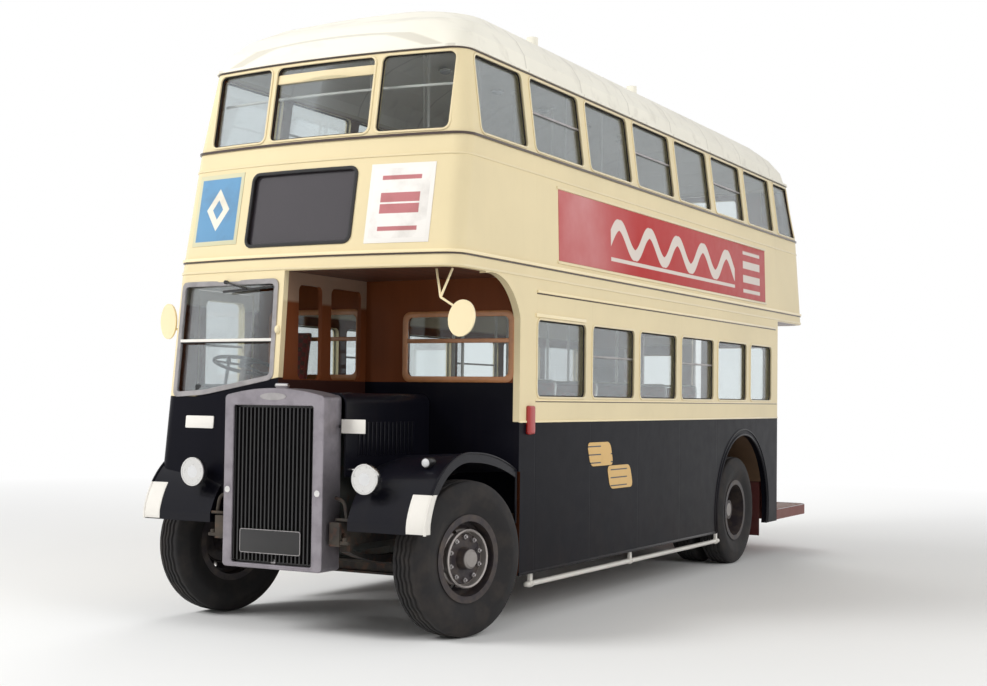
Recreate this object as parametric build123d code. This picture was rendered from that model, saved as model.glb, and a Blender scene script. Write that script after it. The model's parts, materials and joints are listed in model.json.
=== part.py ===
from build123d import *
import os
from math import cos, radians, sin, sqrt

os.makedirs("parts", exist_ok=True)

# A half-cab double decker bus with an open rear platform, standing on its wheels.
# The front faces -Y, the kerb side (nearside) is +X, and the driver's side (offside) is -X.
# Origin: under the middle of the whole bus, on the road. All sizes are in millimetres.

# Lengths along the bus, measured from the radiator backwards
radiator_to_bulkhead = 1240.0
bulkhead_to_first_pillar = 200.0
bay_count = 6
platform_length = 1073.0
front_overhang = 730.0
wheelbase = 5150.0
rear_axle_to_platform = 1047.0

# Widths and walls
half_width = 1143.0
side_wall = 50.0
deck_wall = 45.0
mirror_stand_out = 127.0
sheet = 12.0

# Heights above the road
skirt_z = 340.0
platform_bottom = 350.0
platform_top = 449.0
floor_top = 790.0
floor_thickness = 40.0
cab_bottom = 850.0
cab_floor_top = 1215.0
lower_sill = 1560.0
lower_window_top = 2104.0
deck_z = 2380.0
upper_floor_thickness = 60.0
upper_rail = 3262.0
upper_sill = 3290.0
upper_window_top = 3820.0
gutter_z = 3860.0
roof_crown = 4370.0

# Plan shape of the body
front_bow_radius = 6000.0
front_corner_radius = 130.0
cab_foot_bow_radius = 14000.0
cab_foot_corner_radius = 90.0
rear_corner_radius = 260.0
cab_foot_setback = 150.0
cab_top_setback = 255.0
upper_rail_setback = 410.0
gutter_setback = 510.0
rear_waist_inset = 60.0
rear_rail_inset = 180.0
rear_gutter_inset = 300.0
rail_tumblehome = 25.0
gutter_tumblehome = 103.0

# Windows
window_radius = 45.0
pillar_half = 57.0
rear_pillar = 206.0
glass_thickness = 6.0
glass_gap = 0.5

# Running clearances
pin_clearance = 0.05
moving_gap = 6.0

# Wheels and steering
tyre_radius = 508.0
tyre_width = 250.0
rim_radius = 254.0
front_wheel_inset = 143.0
rear_wheel_inset = 175.0
twin_spacing = 290.0
kingpin_x = 800.0
kingpin_radius = 22.0
stub_radius = 38.0
steering_arm = 180.0
rest_steer = 13.0

# Chassis
rail_x = 460.0
rail_width = 76.0
rail_bottom = 600.0
channel_wall = 10.0

# Radiator and bonnet
radiator_half = 395.0
radiator_depth = 200.0
radiator_bottom = 430.0
radiator_shoulder = 1546.0
radiator_crown = 1595.0
grille_half = 328.0
grille_bottom = 452.0
grille_top = 1492.0
grille_slats = 21
grille_radius = 24.0
bonnet_top = 1560.0
bonnet_side = 430.0
bonnet_bottom = 1030.0
cab_inner_x = -120.0

# Places worked out from the sizes above
radiator_to_platform = front_overhang + wheelbase + rear_axle_to_platform
overall_length = radiator_to_platform + platform_length
bay_pitch = (radiator_to_platform - radiator_to_bulkhead - bulkhead_to_first_pillar) / bay_count
front_end = -overall_length / 2
rear_end = overall_length / 2
bulkhead_y = front_end + radiator_to_bulkhead
first_pillar = bulkhead_y + bulkhead_to_first_pillar
saloon_end = first_pillar + bay_count * bay_pitch
front_axle_y = front_end + front_overhang
rear_axle_y = front_axle_y + wheelbase
floor_underside = floor_top - floor_thickness
rail_top = floor_underside
radiator_back = front_end + radiator_depth
inner_x = half_width - side_wall
wide = half_width + 200.0
mirror_reach = half_width + mirror_stand_out
front_track_half = half_width - front_wheel_inset
rear_outer_half = half_width - rear_wheel_inset
upper_floor_top = deck_z + upper_floor_thickness
wheel_swing = sqrt((front_track_half - kingpin_x + tyre_width / 2) ** 2 + tyre_radius**2) + 30.0
wheel_swing_top = 2 * tyre_radius + 34.0


# Small tools for shapes

def block(x0, x1, y0, y1, z0, z1):
    """A box between two corners."""
    return Pos((x0 + x1) / 2, (y0 + y1) / 2, (z0 + z1) / 2) * Box(x1 - x0, y1 - y0, z1 - z0)


def rect(u0, u1, v0, v1, radius=0.0):
    """A flat rectangle with rounded corners, given by its limits."""
    centre = Pos((u0 + u1) / 2, (v0 + v1) / 2)
    if radius > 0:
        return centre * RectangleRounded(u1 - u0, v1 - v0, radius)
    return centre * Rectangle(u1 - u0, v1 - v0)


def slab_x(face, x0, x1):
    """A YZ outline made solid from x0 to x1."""
    plane = Plane(origin=(x0, 0, 0), x_dir=(0, 1, 0), z_dir=(1, 0, 0))
    return extrude(plane * face, x1 - x0)


def slab_y(face, y0, y1):
    """An XZ outline made solid from y0 to y1."""
    plane = Plane(origin=(0, y1, 0), x_dir=(1, 0, 0), z_dir=(0, -1, 0))
    return extrude(plane * face, y1 - y0)


def slab_z(face, z0, z1):
    """An XY outline made solid from z0 to z1."""
    return extrude(Plane.XY.offset(z0) * face, z1 - z0)


def outline(*points):
    """A closed outline of straight edges."""
    return make_face(Polyline(*points, close=True))


def upright(x, y, z, radius, height):
    """A standing cylinder with its foot at z."""
    return Pos(x, y, z) * Cylinder(radius, height, align=(Align.CENTER, Align.CENTER, Align.MIN))


def rod(start, end, radius):
    """A round bar between two points."""
    axis = Vector(*end) - Vector(*start)
    return extrude(Plane(origin=start, z_dir=axis) * Circle(radius), axis.length)


def tube_run(points, radius, bend):
    """A round bar along straight runs with rounded corners."""
    path = FilletPolyline(*points, radius=bend) if len(points) > 2 else Line(*points)
    start = Plane(origin=path @ 0, z_dir=path % 0)
    return sweep(start * Circle(radius), path=path)


def mirrored(shape):
    """The same shape on the other side of the bus."""
    return mirror(shape, about=Plane.YZ)


def join(shapes):
    """Shapes that meet, fused into one."""
    whole = shapes[0]
    for shape in shapes[1:]:
        whole = whole + shape
    return whole


def write(node, *shapes):
    """One file for a sub-part; its solids stay apart."""
    solids = []
    for shape in shapes:
        solids.extend(shape.solids())
    export_step(Compound(children=solids) if len(solids) > 1 else solids[0], f"parts/{node}.step")


# The plan outline of the body and its tapering walls

def plan(half, front, rear, front_corner, rear_corner, bow=front_bow_radius):
    """A bus outline seen from above: bowed front, rounded corners, flat back."""
    corner = front + bow - sqrt(bow**2 - half**2)
    edges = [
        ThreePointArc((-half, corner), (0, front), (half, corner)),
        Line((half, corner), (half, rear)),
        Line((half, rear), (-half, rear)),
        Line((-half, rear), (-half, corner)),
    ]
    face = make_face(edges)
    ends = face.vertices().sort_by(Axis.Y)
    face = fillet(ends[0:2], front_corner)
    ends = face.vertices().sort_by(Axis.Y)
    return fillet(ends[-2:], rear_corner)


def deck_plan(z, half, front, rear, inset):
    """One level of the upper body, moved in by the wall."""
    corners = (front_corner_radius - inset, rear_corner_radius - inset)
    face = plan(half - inset, front + inset, rear - inset, *corners)
    return Plane.XY.offset(z) * face


# columns: height, half width, front, rear
deck_levels = (
    (deck_z, half_width, front_end + cab_top_setback, rear_end - rear_waist_inset),
    (upper_rail, half_width - rail_tumblehome, front_end + upper_rail_setback, rear_end - rear_rail_inset),
    (gutter_z, half_width - gutter_tumblehome, front_end + gutter_setback, rear_end - rear_gutter_inset),
)


def deck_solid(inset):
    """The upper body as one solid, moved in all round by an inset."""
    return loft([deck_plan(*level, inset) for level in deck_levels], ruled=True)


# Upper body

def pillar_line(number):
    """Where a body pillar stands, counted from the front."""
    return first_pillar + number * bay_pitch


front_quarter = (front_end + 710.0, first_pillar - pillar_half)
rear_quarter = (saloon_end + 84.0, rear_end - 270.0)

# columns: left, right, sill, top
front_windows = (
    (193.0 - half_width, -447.0, upper_sill, upper_window_top),
    (-402.0, 410.0, upper_sill, upper_window_top),
    (460.0, half_width - 153.0, upper_sill, upper_window_top),
)
destination_box = (-495.0, 365.0, 2555.0, 3062.0)
rear_flap = (-480.0, 480.0, upper_sill, upper_window_top)
box_depth = 260.0


def pane_outline(window):
    """A pane's outline, just inside its window."""
    left, right, low, high = window
    gap = glass_gap
    return rect(left + gap, right - gap, low + gap, high - gap, window_radius - gap)


def upright_pane(window, y):
    """A flat pane across the bus at y."""
    return slab_y(pane_outline(window), y - glass_thickness / 2, y + glass_thickness / 2)


def side_cut(y0, y1, z0, z1, gap, x0=0.0, x1=wide):
    """A window-shaped block through a side wall."""
    return slab_x(rect(y0 + gap, y1 - gap, z0 + gap, z1 - gap, window_radius - gap), x0, x1)


def upper_side_cuts(gap):
    """The upper side windows between the pillars, on the nearside."""
    cuts = []
    for bay in range(bay_count):
        cuts.append(side_cut(pillar_line(bay) + pillar_half, pillar_line(bay + 1) - pillar_half,
                             upper_sill, upper_window_top, gap))
    return cuts


def quarter_cuts(gap):
    """The windows at the front and rear corners of the upper deck."""
    front = side_cut(*front_quarter, upper_sill, upper_window_top, gap, half_width - 843.0)
    rear = side_cut(*rear_quarter, upper_sill, upper_window_top, gap, half_width - 443.0)
    return [front], [rear]


def front_cuts(gap):
    """The three windows at the front of the upper deck."""
    cuts = []
    for left, right, sill, top in front_windows:
        face = rect(left + gap, right - gap, sill + gap, top - gap, window_radius - gap)
        cuts.append(slab_y(face, front_end, front_end + 1000.0))
    return cuts


def build_upper_body():
    """Front, side and rear walls of the upper deck, split at their pillars."""
    shell = deck_solid(0) - deck_solid(deck_wall)
    front_side, rear_side = quarter_cuts(0)
    front = shell & block(-wide, wide, front_end, first_pillar, deck_z, gutter_z)
    for cut in front_cuts(0) + front_side + [mirrored(front_side[0])]:
        front -= cut
    left, right, low, high = destination_box
    front -= slab_y(rect(left, right, low, high, window_radius), front_end, front_end + 1000.0)
    write("upper_front_body", front)

    side = shell & block(0, wide, first_pillar, saloon_end, deck_z, gutter_z)
    for cut in upper_side_cuts(0):
        side -= cut
    write("upper_side_nearside", side)
    write("upper_side_offside", mirrored(side))

    rear = shell & block(-wide, wide, saloon_end, rear_end, deck_z, gutter_z)
    for cut in rear_side + [mirrored(rear_side[0])]:
        rear -= cut
    left, right, low, high = rear_flap
    rear -= slab_y(rect(left, right, low, high), saloon_end + 200.0, rear_end)
    write("upper_rear_body", join([rear] + flap_hinge_brackets()))


def deck_pane(cut):
    """The pane in the middle of the upper wall that a window-shaped block takes out of it."""
    half = glass_thickness / 2
    return (deck_solid(deck_wall / 2 - half) & cut) - deck_solid(deck_wall / 2 + half)


def upper_glass():
    """Panes in the middle of the upper walls: front ones, side ones."""
    front_side, rear_side = quarter_cuts(glass_gap)
    near = [deck_pane(cut) for cut in front_side + upper_side_cuts(glass_gap) + rear_side]
    off = [mirrored(pane) for pane in near]
    return [deck_pane(cut) for cut in front_cuts(glass_gap)], near + off


def build_destination_box():
    """The box behind the blank route display, with its dark glass."""
    left, right, low, high = destination_box
    inner_front = front_end + upper_rail_setback + deck_wall + 60.0
    shell = slab_y(rect(left - 25, right + 25, low - 25, high + 25), inner_front, inner_front + box_depth)
    shell -= slab_y(rect(left, right, low, high), inner_front, inner_front + box_depth - sheet)
    neck = slab_y(rect(left - 25, right + 25, low - 25, high + 25), front_end + 200, inner_front)
    neck -= slab_y(rect(left, right, low, high), front_end + 200, inner_front)
    neck = neck & deck_solid(deck_wall)
    write("destination_box", shell + neck)
    face = pane_outline(destination_box)
    write("destination_glass", deck_pane(slab_y(face, front_end, front_end + 1000.0)))


# How far the dome draws in at the sides, the front and the back before it is level
roof_flat_half = 140.0
roof_side = half_width - gutter_tumblehome - roof_flat_half
roof_front = 1400.0
roof_back = 1900.0
roof_steps = 7
roof_skin = 30.0
roof_edge = 50.0
vent_places = (front_end + 2220.0, front_end + 4130.0)
vent_x = 700.0
vent_radius = 45.0
vent_stand = 30.0


def roof_solid(inset):
    """The domed roof as stacked plan outlines."""
    top_z, half, front, rear = deck_levels[-1]
    sections = []
    for step in range(roof_steps + 1):
        angle = radians(90.0 * step / roof_steps)
        level = top_z + (roof_crown - top_z) * sin(angle) - (inset if step else 0)
        drawn = 1 - cos(angle)
        side = half - roof_side * drawn - inset
        corner = min(side - roof_edge, front_corner_radius + roof_edge + roof_front * drawn / 2)
        rear_corner = min(side - roof_edge, rear_corner_radius + roof_edge + roof_back * drawn / 3)
        start = front + roof_front * drawn + inset
        face = plan(side, start, rear - roof_back * drawn - inset, corner, rear_corner)
        sections.append(Plane.XY.offset(level) * face)
    return loft(sections, ruled=True)


def roof_height(x):
    """The height of the dome's outside at a distance from the middle."""
    top_z, half, _, _ = deck_levels[-1]
    return top_z + (roof_crown - top_z) * sqrt(1 - (1 - (half - x) / roof_side) ** 2)


def build_roof():
    """The roof skin and its two small ventilators."""
    roof = roof_solid(0) - roof_solid(roof_skin)
    for y in vent_places:
        foot = roof_height(vent_x + vent_radius) - roof_skin
        cap = upright(vent_x, y, foot, vent_radius, 2 * roof_skin + vent_stand)
        roof += cap - roof_solid(roof_skin / 2)
    write("roof", roof)


flap_hinge_y = rear_end - rear_gutter_inset + 19.0
flap_hinge_z = upper_window_top - 3.0
flap_barrel = 9.0
flap_pin = 5.0
flap_hinge_places = (-260.0, 260.0)
flap_barrel_half = 40.0
flap_end_gap = 5.0
flap_boss = 24.0
flap_bracket_z = (upper_window_top + 0.5, upper_window_top + 20.0)
flap_border = 60.0


def flap_rod(x0, x1, radius):
    """A round piece on the emergency window's hinge line."""
    return rod((x0, flap_hinge_y, flap_hinge_z), (x1, flap_hinge_y, flap_hinge_z), radius)


def flap_hinge_brackets():
    """Pins and their brackets above the emergency window."""
    pieces = []
    for x in flap_hinge_places:
        reach = flap_barrel_half + flap_end_gap
        pin = flap_rod(x - reach - flap_boss, x + reach + flap_boss, flap_pin)
        for x0, x1 in ((x - reach - flap_boss, x - reach), (x + reach, x + reach + flap_boss)):
            pin += flap_rod(x0, x1, flap_barrel)
            pin += block(x0, x1, flap_hinge_y - 26.0, flap_hinge_y + 8.0, *flap_bracket_z)
        pieces.append(pin)
    return pieces


def flap_hinge_barrels():
    """Barrels and leaves on the emergency window, around the pins."""
    pieces = []
    for x in flap_hinge_places:
        x0, x1 = x - flap_barrel_half, x + flap_barrel_half
        leaf = block(x0, x1, flap_hinge_y - 20.0, flap_hinge_y + 4.0, flap_hinge_z - 42.0, flap_hinge_z - 5.0)
        pieces.append(flap_rod(x0, x1, flap_barrel) + leaf)
    return pieces


def flap_pin_bores():
    """The holes through the barrels."""
    return [flap_rod(x - 60.0, x + 60.0, flap_pin + pin_clearance) for x in flap_hinge_places]


def build_rear_flap():
    """The emergency window at the back of the upper deck, hung from its top edge."""
    left, right, low, high = rear_flap
    gap = moving_gap
    flap = slab_y(rect(left + gap, right - gap, low + gap, high - gap), saloon_end + 200.0, rear_end)
    flap = flap & (deck_solid(0) - deck_solid(deck_wall))
    window = (left + flap_border, right - flap_border, low + flap_border, high - flap_border)
    hole = slab_y(rect(*window, window_radius), saloon_end + 200.0, rear_end)
    pane = slab_y(pane_outline(window), saloon_end + 200.0, rear_end)
    flap = join([flap - hole] + flap_hinge_barrels())
    for bore in flap_pin_bores():
        flap -= bore
    write("emergency_window", flap)
    write("emergency_glass", deck_pane(pane))


# Floors

def build_floors():
    """The lower saloon floor, the upper floor with its stair well, and the wheel boxes."""
    floor = block(-inner_x, inner_x, bulkhead_y + 200.0, saloon_end, floor_underside, floor_top)
    reach = arch_radius + sheet
    arch = block(wheel_box_x, wide, rear_axle_y - reach, rear_axle_y + reach, 0, deck_z)
    floor = floor - arch - mirrored(arch)
    pieces = [floor]
    for part in floor_bearers() + [wheel_box()]:
        pieces += [part, mirrored(part)]
    write("lower_floor", join(pieces))

    upper = slab_z(plan(half_width - deck_wall, front_end + cab_top_setback + deck_wall + 15.0,
                        rear_end - rear_waist_inset - deck_wall - 15.0, front_corner_radius - deck_wall,
                        rear_corner_radius - deck_wall), deck_z, upper_floor_top)
    upper = upper & deck_solid(deck_wall)
    upper -= block(-inner_x + 60, stair_well_x, saloon_end + 60.0, stair_well_end, deck_z, upper_floor_top)
    write("upper_floor", upper)


arch_radius = 720.0
wheel_box_x = rear_outer_half - twin_spacing - tyre_width / 2 - 33.0
stair_well_x = -430.0
stair_well_end = saloon_end + 760.0


def wheel_box():
    """The rounded cover over the nearside twin rear wheels inside the saloon."""
    centre = Pos(rear_axle_y, tyre_radius)
    ring = centre * (Circle(arch_radius + sheet) - Circle(arch_radius))
    keep = rect(rear_axle_y - 900, rear_axle_y + 900, floor_underside, 2000)
    cover = slab_x(ring & keep, wheel_box_x, inner_x)
    side = slab_x((centre * Circle(arch_radius + sheet)) & keep, wheel_box_x, wheel_box_x + sheet)
    return cover + side


# Lower body

def front_swing():
    """The space that a steered front wheel sweeps."""
    return upright(kingpin_x, front_axle_y, 0, wheel_swing, wheel_swing_top)


def lower_windows(near, gap):
    """Cuts for the windows of one lower side."""
    cuts = []
    for bay in range(bay_count):
        end = pillar_line(bay + 1) - pillar_half
        if near and bay == bay_count - 1:
            end = saloon_end - rear_pillar
        cuts.append(side_cut(pillar_line(bay) + pillar_half, end, lower_sill, lower_window_top, gap))
    return cuts


canopy_corner_length = 490.0
canopy_corner_drop = 280.0
canopy_edge = 12.0


def canopy_corner():
    """The rounded web between the canopy and the pillar behind the engine."""
    front = (bulkhead_y - canopy_corner_length, deck_z - canopy_edge)
    back = (bulkhead_y, deck_z - canopy_corner_drop)
    middle = (bulkhead_y - 0.29 * canopy_corner_length, deck_z - 0.32 * canopy_corner_drop)
    edges = [
        ThreePointArc(front, middle, back),
        Line(back, (bulkhead_y, deck_z)),
        Line((bulkhead_y, deck_z), (front[0], deck_z)),
        Line((front[0], deck_z), front),
    ]
    return slab_x(make_face(edges), inner_x, half_width)


def build_lower_sides():
    """The lower side walls with their windows and wheel arches, and the panes."""
    arch = slab_x(Pos(rear_axle_y, tyre_radius) * Circle(arch_radius), 0, wide)
    wall = block(inner_x, half_width, bulkhead_y, saloon_end, skirt_z, deck_z) - arch - front_swing()
    middle = half_width - side_wall / 2
    half = glass_thickness / 2
    pane = block(middle - half, middle + half, bulkhead_y, saloon_end, skirt_z, deck_z)
    glass = []
    for near, name in ((True, "nearside"), (False, "offside")):
        side = wall
        for cut in lower_windows(near, 0):
            side -= cut
        panes = [pane & cut for cut in lower_windows(near, glass_gap)]
        if near:
            side += canopy_corner()
        else:
            side = mirrored(side)
            panes = [mirrored(one) for one in panes]
        write(f"lower_side_{name}", side)
        glass += panes
    return glass


bulkhead_wall = 40.0
bulkhead_step = 200.0
bulkhead_window = (230.0, inner_x - 33.0, 1690.0, 2120.0)
cab_rear_window = (133.0 - inner_x, -200.0, 1700.0, 2150.0)


def build_bulkheads():
    """The wall behind the engine and cab, and the wall between saloon and platform."""
    front = bulkhead_y
    step_y = bulkhead_y + bulkhead_step
    step_z = wheel_swing_top
    profile = outline(
        (front, step_z), (front, deck_z), (front + bulkhead_wall, deck_z),
        (front + bulkhead_wall, step_z + sheet),
        (step_y, step_z + sheet), (step_y, floor_underside), (step_y - sheet, floor_underside),
        (step_y - sheet, step_z))
    wall = slab_x(profile, -inner_x, inner_x)
    panes = []
    middle = bulkhead_y + bulkhead_wall / 2
    for left, right, low, high in (bulkhead_window, cab_rear_window):
        wall -= slab_y(rect(left, right, low, high, window_radius), bulkhead_y - 10, bulkhead_y + 100)
        panes.append(upright_pane((left, right, low, high), middle))
    write("front_bulkhead", wall)

    rear = block(-inner_x, inner_x, saloon_end - bulkhead_wall, saloon_end, floor_top, deck_z)
    rear -= block(-330.0, 330.0, saloon_end - 100, saloon_end + 100, floor_top, 2230.0)
    near_pane = (450.0, inner_x - 93.0, lower_sill, lower_window_top)
    off_pane = (93.0 - inner_x, -450.0, lower_sill, lower_window_top)
    middle = saloon_end - bulkhead_wall / 2
    for left, right, low, high in (near_pane, off_pane):
        rear -= slab_y(rect(left, right, low, high, window_radius), saloon_end - 100, saloon_end + 100)
        panes.append(upright_pane((left, right, low, high), middle))
    write("rear_bulkhead", rear)
    panes.append(upright_pane(rear_panel_window, rear_face - side_wall / 2))
    write("glass_bulkheads", *panes)


# Rear platform and staircase

rear_face = rear_end - rear_waist_inset
rear_panel_x = -160.0
rear_panel_window = (233.0 - inner_x, -300.0, 1500.0, 2060.0)
step_count = 8
well_wall = 30.0


def build_platform():
    """The low open platform with its riser up to the saloon floor."""
    deck = slab_z(rect(-half_width, half_width, saloon_end - 10.0, rear_end), platform_bottom, platform_top)
    corners = deck.edges().filter_by(Axis.Z).sort_by(Axis.Y)[-2:]
    deck = fillet(corners, 120.0)
    deck = deck & block(-wide, wide, saloon_end, rear_end, 0, 2000)
    riser = block(-inner_x, inner_x, saloon_end - sheet, saloon_end, platform_bottom, floor_underside)
    foot = block(-inner_x, inner_x, saloon_end - sheet, saloon_end + 20.0, platform_bottom, platform_top)
    write("platform", deck + riser + foot)


def build_rear_panel():
    """The closed offside rear corner of the lower deck, with its window."""
    low = platform_top
    solid = plan(half_width, front_end, rear_face, front_corner_radius, rear_corner_radius)
    hollow = plan(inner_x, front_end + side_wall, rear_face - side_wall, front_corner_radius - side_wall,
                  rear_corner_radius - side_wall)
    solid = slab_z(solid, low, deck_z)
    hollow = slab_z(hollow, low, deck_z)
    wall = (solid - hollow) & block(-wide, rear_panel_x, saloon_end, rear_end, low, deck_z)
    wall -= slab_y(rect(*rear_panel_window, window_radius), rear_face - 300, rear_end)
    write("rear_lower_panel", wall)


def build_staircase():
    """Steps that climb along the back wall, turn in the corner and go forward."""
    rise = (upper_floor_top - platform_top) / step_count
    inner_rear = rear_face - side_wall
    inner_side = -inner_x
    tread = 36.0
    steps = []
    # columns: left, right, front, back of each tread
    treads = (
        (-400.0, -160.0, inner_rear - 700.0, inner_rear),
        (-640.0, -400.0, inner_rear - 700.0, inner_rear),
        (-860.0, -640.0, inner_rear - 700.0, inner_rear - 60),
        (inner_side + 60, -640.0, inner_rear - 330.0, inner_rear - 160),
        (inner_side + 10, -640.0, inner_rear - 510.0, inner_rear - 330),
        (inner_side + 10, -640.0, inner_rear - 690.0, inner_rear - 510),
        (inner_side + 10, -640.0, inner_rear - 860.0, inner_rear - 690),
    )
    low = platform_top
    for left, right, front, back in treads:
        top = low + rise
        steps.append(block(left, right, front, back, top - tread, top))
        low = top
    walls = []
    low = platform_top
    for number, (left, right, front, back) in enumerate(treads):
        top = low + rise
        if number < 3:
            walls.append(block(right - 20.0, right, front, back, low - (tread if number else 0), top - tread))
        elif number == 3:
            walls.append(block(left, right, back - 20.0, back, low - tread, top - tread))
        else:
            walls.append(block(left, right, back - 20.0, back, low - tread, top - tread))
        low = top
    post_y = (inner_rear - 860.0, inner_rear - 330.0)
    post = block(-640.0, -640.0 + well_wall, *post_y, platform_top + 2 * rise, deck_z)
    write("staircase", join(steps + walls + [post]))


# Cab

windscreen_top = 2320.0
windscreen_radius = 60.0
cab_door_y = (bulkhead_y - 690.0, bulkhead_y - 60.0)
cab_door_z = (1260.0, 2300.0)
cab_door_hinge_y = cab_door_y[1] - side_wall / 2 - moving_gap


def windscreen(gap):
    """The windscreen's outline, with a bottom edge that climbs towards the bonnet."""
    left, right = 93.0 - half_width + gap, cab_inner_x - side_wall - gap
    top = windscreen_top - gap
    sill = [(left, 1532.0 + gap), (-760.0, 1550.0 + gap), (right, 1656.0 + gap)]
    face = outline(*sill, (right, top), (left, top))
    corners = face.vertices().sort_by(Axis.X)
    return fillet([corners[0], corners[1], corners[3], corners[4]], windscreen_radius - gap)


def cab_solid(inset):
    """The cab outline as a solid that leans back towards the top."""
    low = plan(half_width - inset, front_end + cab_foot_setback + inset, bulkhead_y + 400,
               cab_foot_corner_radius - inset, 50.0, cab_foot_bow_radius)
    high = plan(half_width - inset, front_end + cab_top_setback + inset, bulkhead_y + 400,
                front_corner_radius - inset, 50.0)
    return loft([Plane.XY.offset(cab_bottom) * low, Plane.XY.offset(deck_z) * high], ruled=True)


# columns: distance from the middle, how much lower the crest is than at the outer edge
wing_sections = (
    (550.0, 75.0),
    (680.0, 25.0),
    (half_width - 18.0, 0.0),
)
wing_inner = wing_sections[0][0]
wing_outer = wing_sections[-1][0]
wing_lip = 60.0
wing_bottom = 700.0
wing_gap = 0.5


def wing_profile(drop, inset):
    """The outline of a front wing from the side, with a lower crest, or moved in by an inset."""
    front = front_end + 60.0 + inset
    low = drop + inset
    shoulder = (front_end + 245.0 + inset * 0.7, 1065.0 - low * 0.7)
    crest = (front_axle_y - 90.0, 1190.0 - low)
    rear = (bulkhead_y, 1060.0 - low * 0.9)
    edges = [
        Line((front, wing_bottom), (front, 760.0)),
        ThreePointArc((front, 760.0), shoulder, crest),
        ThreePointArc(crest, (front_axle_y + 240.0, 1150.0 - low), rear),
        Line(rear, (bulkhead_y, wing_bottom)),
        Line((bulkhead_y, wing_bottom), (front, wing_bottom)),
    ]
    return make_face(edges)


def wing_solid(inset):
    """The nearside wing as one solid block, domed towards the radiator."""
    sections = []
    for x, drop in wing_sections:
        plane = Plane(origin=(x, 0, 0), x_dir=(0, 1, 0), z_dir=(1, 0, 0))
        sections.append(plane * wing_profile(drop, inset))
    return loft(sections, ruled=True)


def wing_space():
    """The room that the nearside wing takes out of what it passes through."""
    return wing_solid(-wing_gap) + slab_x(wing_profile(0, -wing_gap), wing_outer, wide)


casing_x = -440.0
cab_inner_wall = 30.0


def build_wings():
    """The front mudguards: a domed top, an inner wall and a turned-down outer lip."""
    whole = wing_solid(0)
    wall = slab_x(wing_profile(wing_sections[0][1], 0), wing_inner, wing_inner + sheet)
    lip = slab_x(wing_profile(0, 0) - wing_profile(0, wing_lip), wing_outer - sheet, wing_outer) & whole
    wing = join([whole - wing_solid(sheet), wall, lip])
    write("front_wings", wing, mirrored(wing))


def build_cab():
    """The driver's cab: front, side, inner side over the bonnet, floor and panes."""
    shell = cab_solid(0) - cab_solid(side_wall)
    shell = shell & block(-wide, cab_inner_x, front_end, bulkhead_y, cab_bottom, deck_z)
    shell -= block(casing_x, 0, front_end, bulkhead_y, 0, bonnet_top + sheet)
    shell -= slab_y(windscreen(0), front_end, front_end + 600.0)
    shell -= mirrored(wing_space())
    shell -= slab_x(rect(*cab_door_y, *cab_door_z), -wide, -half_width + 2 * side_wall)
    pins = []
    for z in (cab_door_z[0], cab_door_z[1]):
        low_end = z - 30.0 if z == cab_door_z[0] else z - 46.0
        pins.append(upright(-half_width + side_wall / 2, cab_door_hinge_y, low_end, 8.0, 76.0))
    shell = join([shell] + pins)
    write("cab_shell", shell)

    pane = windscreen(glass_gap)
    middle = side_wall / 2
    layer = cab_solid(middle - glass_thickness / 2) - cab_solid(middle + glass_thickness / 2)
    upper_front, upper_sides = upper_glass()
    write("glass_front", layer & slab_y(pane, front_end, front_end + 600.0), *upper_front)
    write("glass_sides", *upper_sides, *build_lower_sides())


def build_cab_inside():
    """The casing over the engine, the cab's inner side and floor, with the bonnet's hinge pin."""
    front = radiator_back + 60.0
    lid = bonnet_top + 2 * sheet
    casing = block(casing_x - sheet, casing_x, front, bulkhead_y, cab_bottom, lid)
    casing += block(casing_x - sheet, cab_inner_x - cab_inner_wall, front, bulkhead_y, lid - sheet, lid)
    casing = casing & cab_solid(side_wall)

    inner = block(cab_inner_x - cab_inner_wall, cab_inner_x, front_end, bulkhead_y, lid - sheet, deck_z)
    inner = inner & cab_solid(side_wall)
    for y0, y1 in ((front_end + 420.0, front_end + 690.0), (front_end + 800.0, bulkhead_y - 70.0)):
        inner -= slab_x(rect(y0, y1, 1660.0, 2300.0, window_radius), -400, 0)
    start = (bonnet_hinge_x, radiator_back, bonnet_top)
    pin = rod(start, (bonnet_hinge_x, bulkhead_y, bonnet_top), bonnet_pin)
    write("cab_inner_side", casing + inner, pin)

    floor = block(-inner_x, casing_x - sheet, front_end, bulkhead_y, cab_floor_top - sheet, cab_floor_top)
    floor = floor & cab_solid(side_wall)
    stand = block(driver_x - 95.0, driver_x + 95.0, bulkhead_y - 420.0, bulkhead_y - 180.0,
                  cab_floor_top, cab_floor_top + driver_seat_height)
    foot, top = column_points()
    column = rod(foot, top, column_radius)
    write("cab_floor", join([floor, stand, column]))


def build_cab_door():
    """The driver's door, hung on pivots at its rear edge."""
    gap = moving_gap
    y0, y1 = cab_door_y
    z0, z1 = cab_door_z
    hinge = (-half_width + side_wall / 2, cab_door_hinge_y)
    door = block(-half_width, -half_width + side_wall, y0 + gap, hinge[1], z0 + gap, z1 - gap)
    door += upright(*hinge, z0 + gap, side_wall / 2, z1 - z0 - 2 * gap)
    window = rect(y0 + 80, y1 - 110, lower_sill, z1 - 70, window_radius)
    door -= slab_x(window, -wide, -half_width + 2 * side_wall)
    for z in (z0 + gap, z1 - gap - 50.0):
        door -= upright(*hinge, z, 8.0 + pin_clearance, 50.0)
    write("cab_door", door)
    pane = rect(y0 + 80 + glass_gap, y1 - 110 - glass_gap, lower_sill + glass_gap, z1 - 70 - glass_gap,
                window_radius - glass_gap)
    middle = -half_width + side_wall / 2
    write("cab_door_glass", slab_x(pane, middle - glass_thickness / 2, middle + glass_thickness / 2))


# Radiator, bonnet and engine

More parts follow.
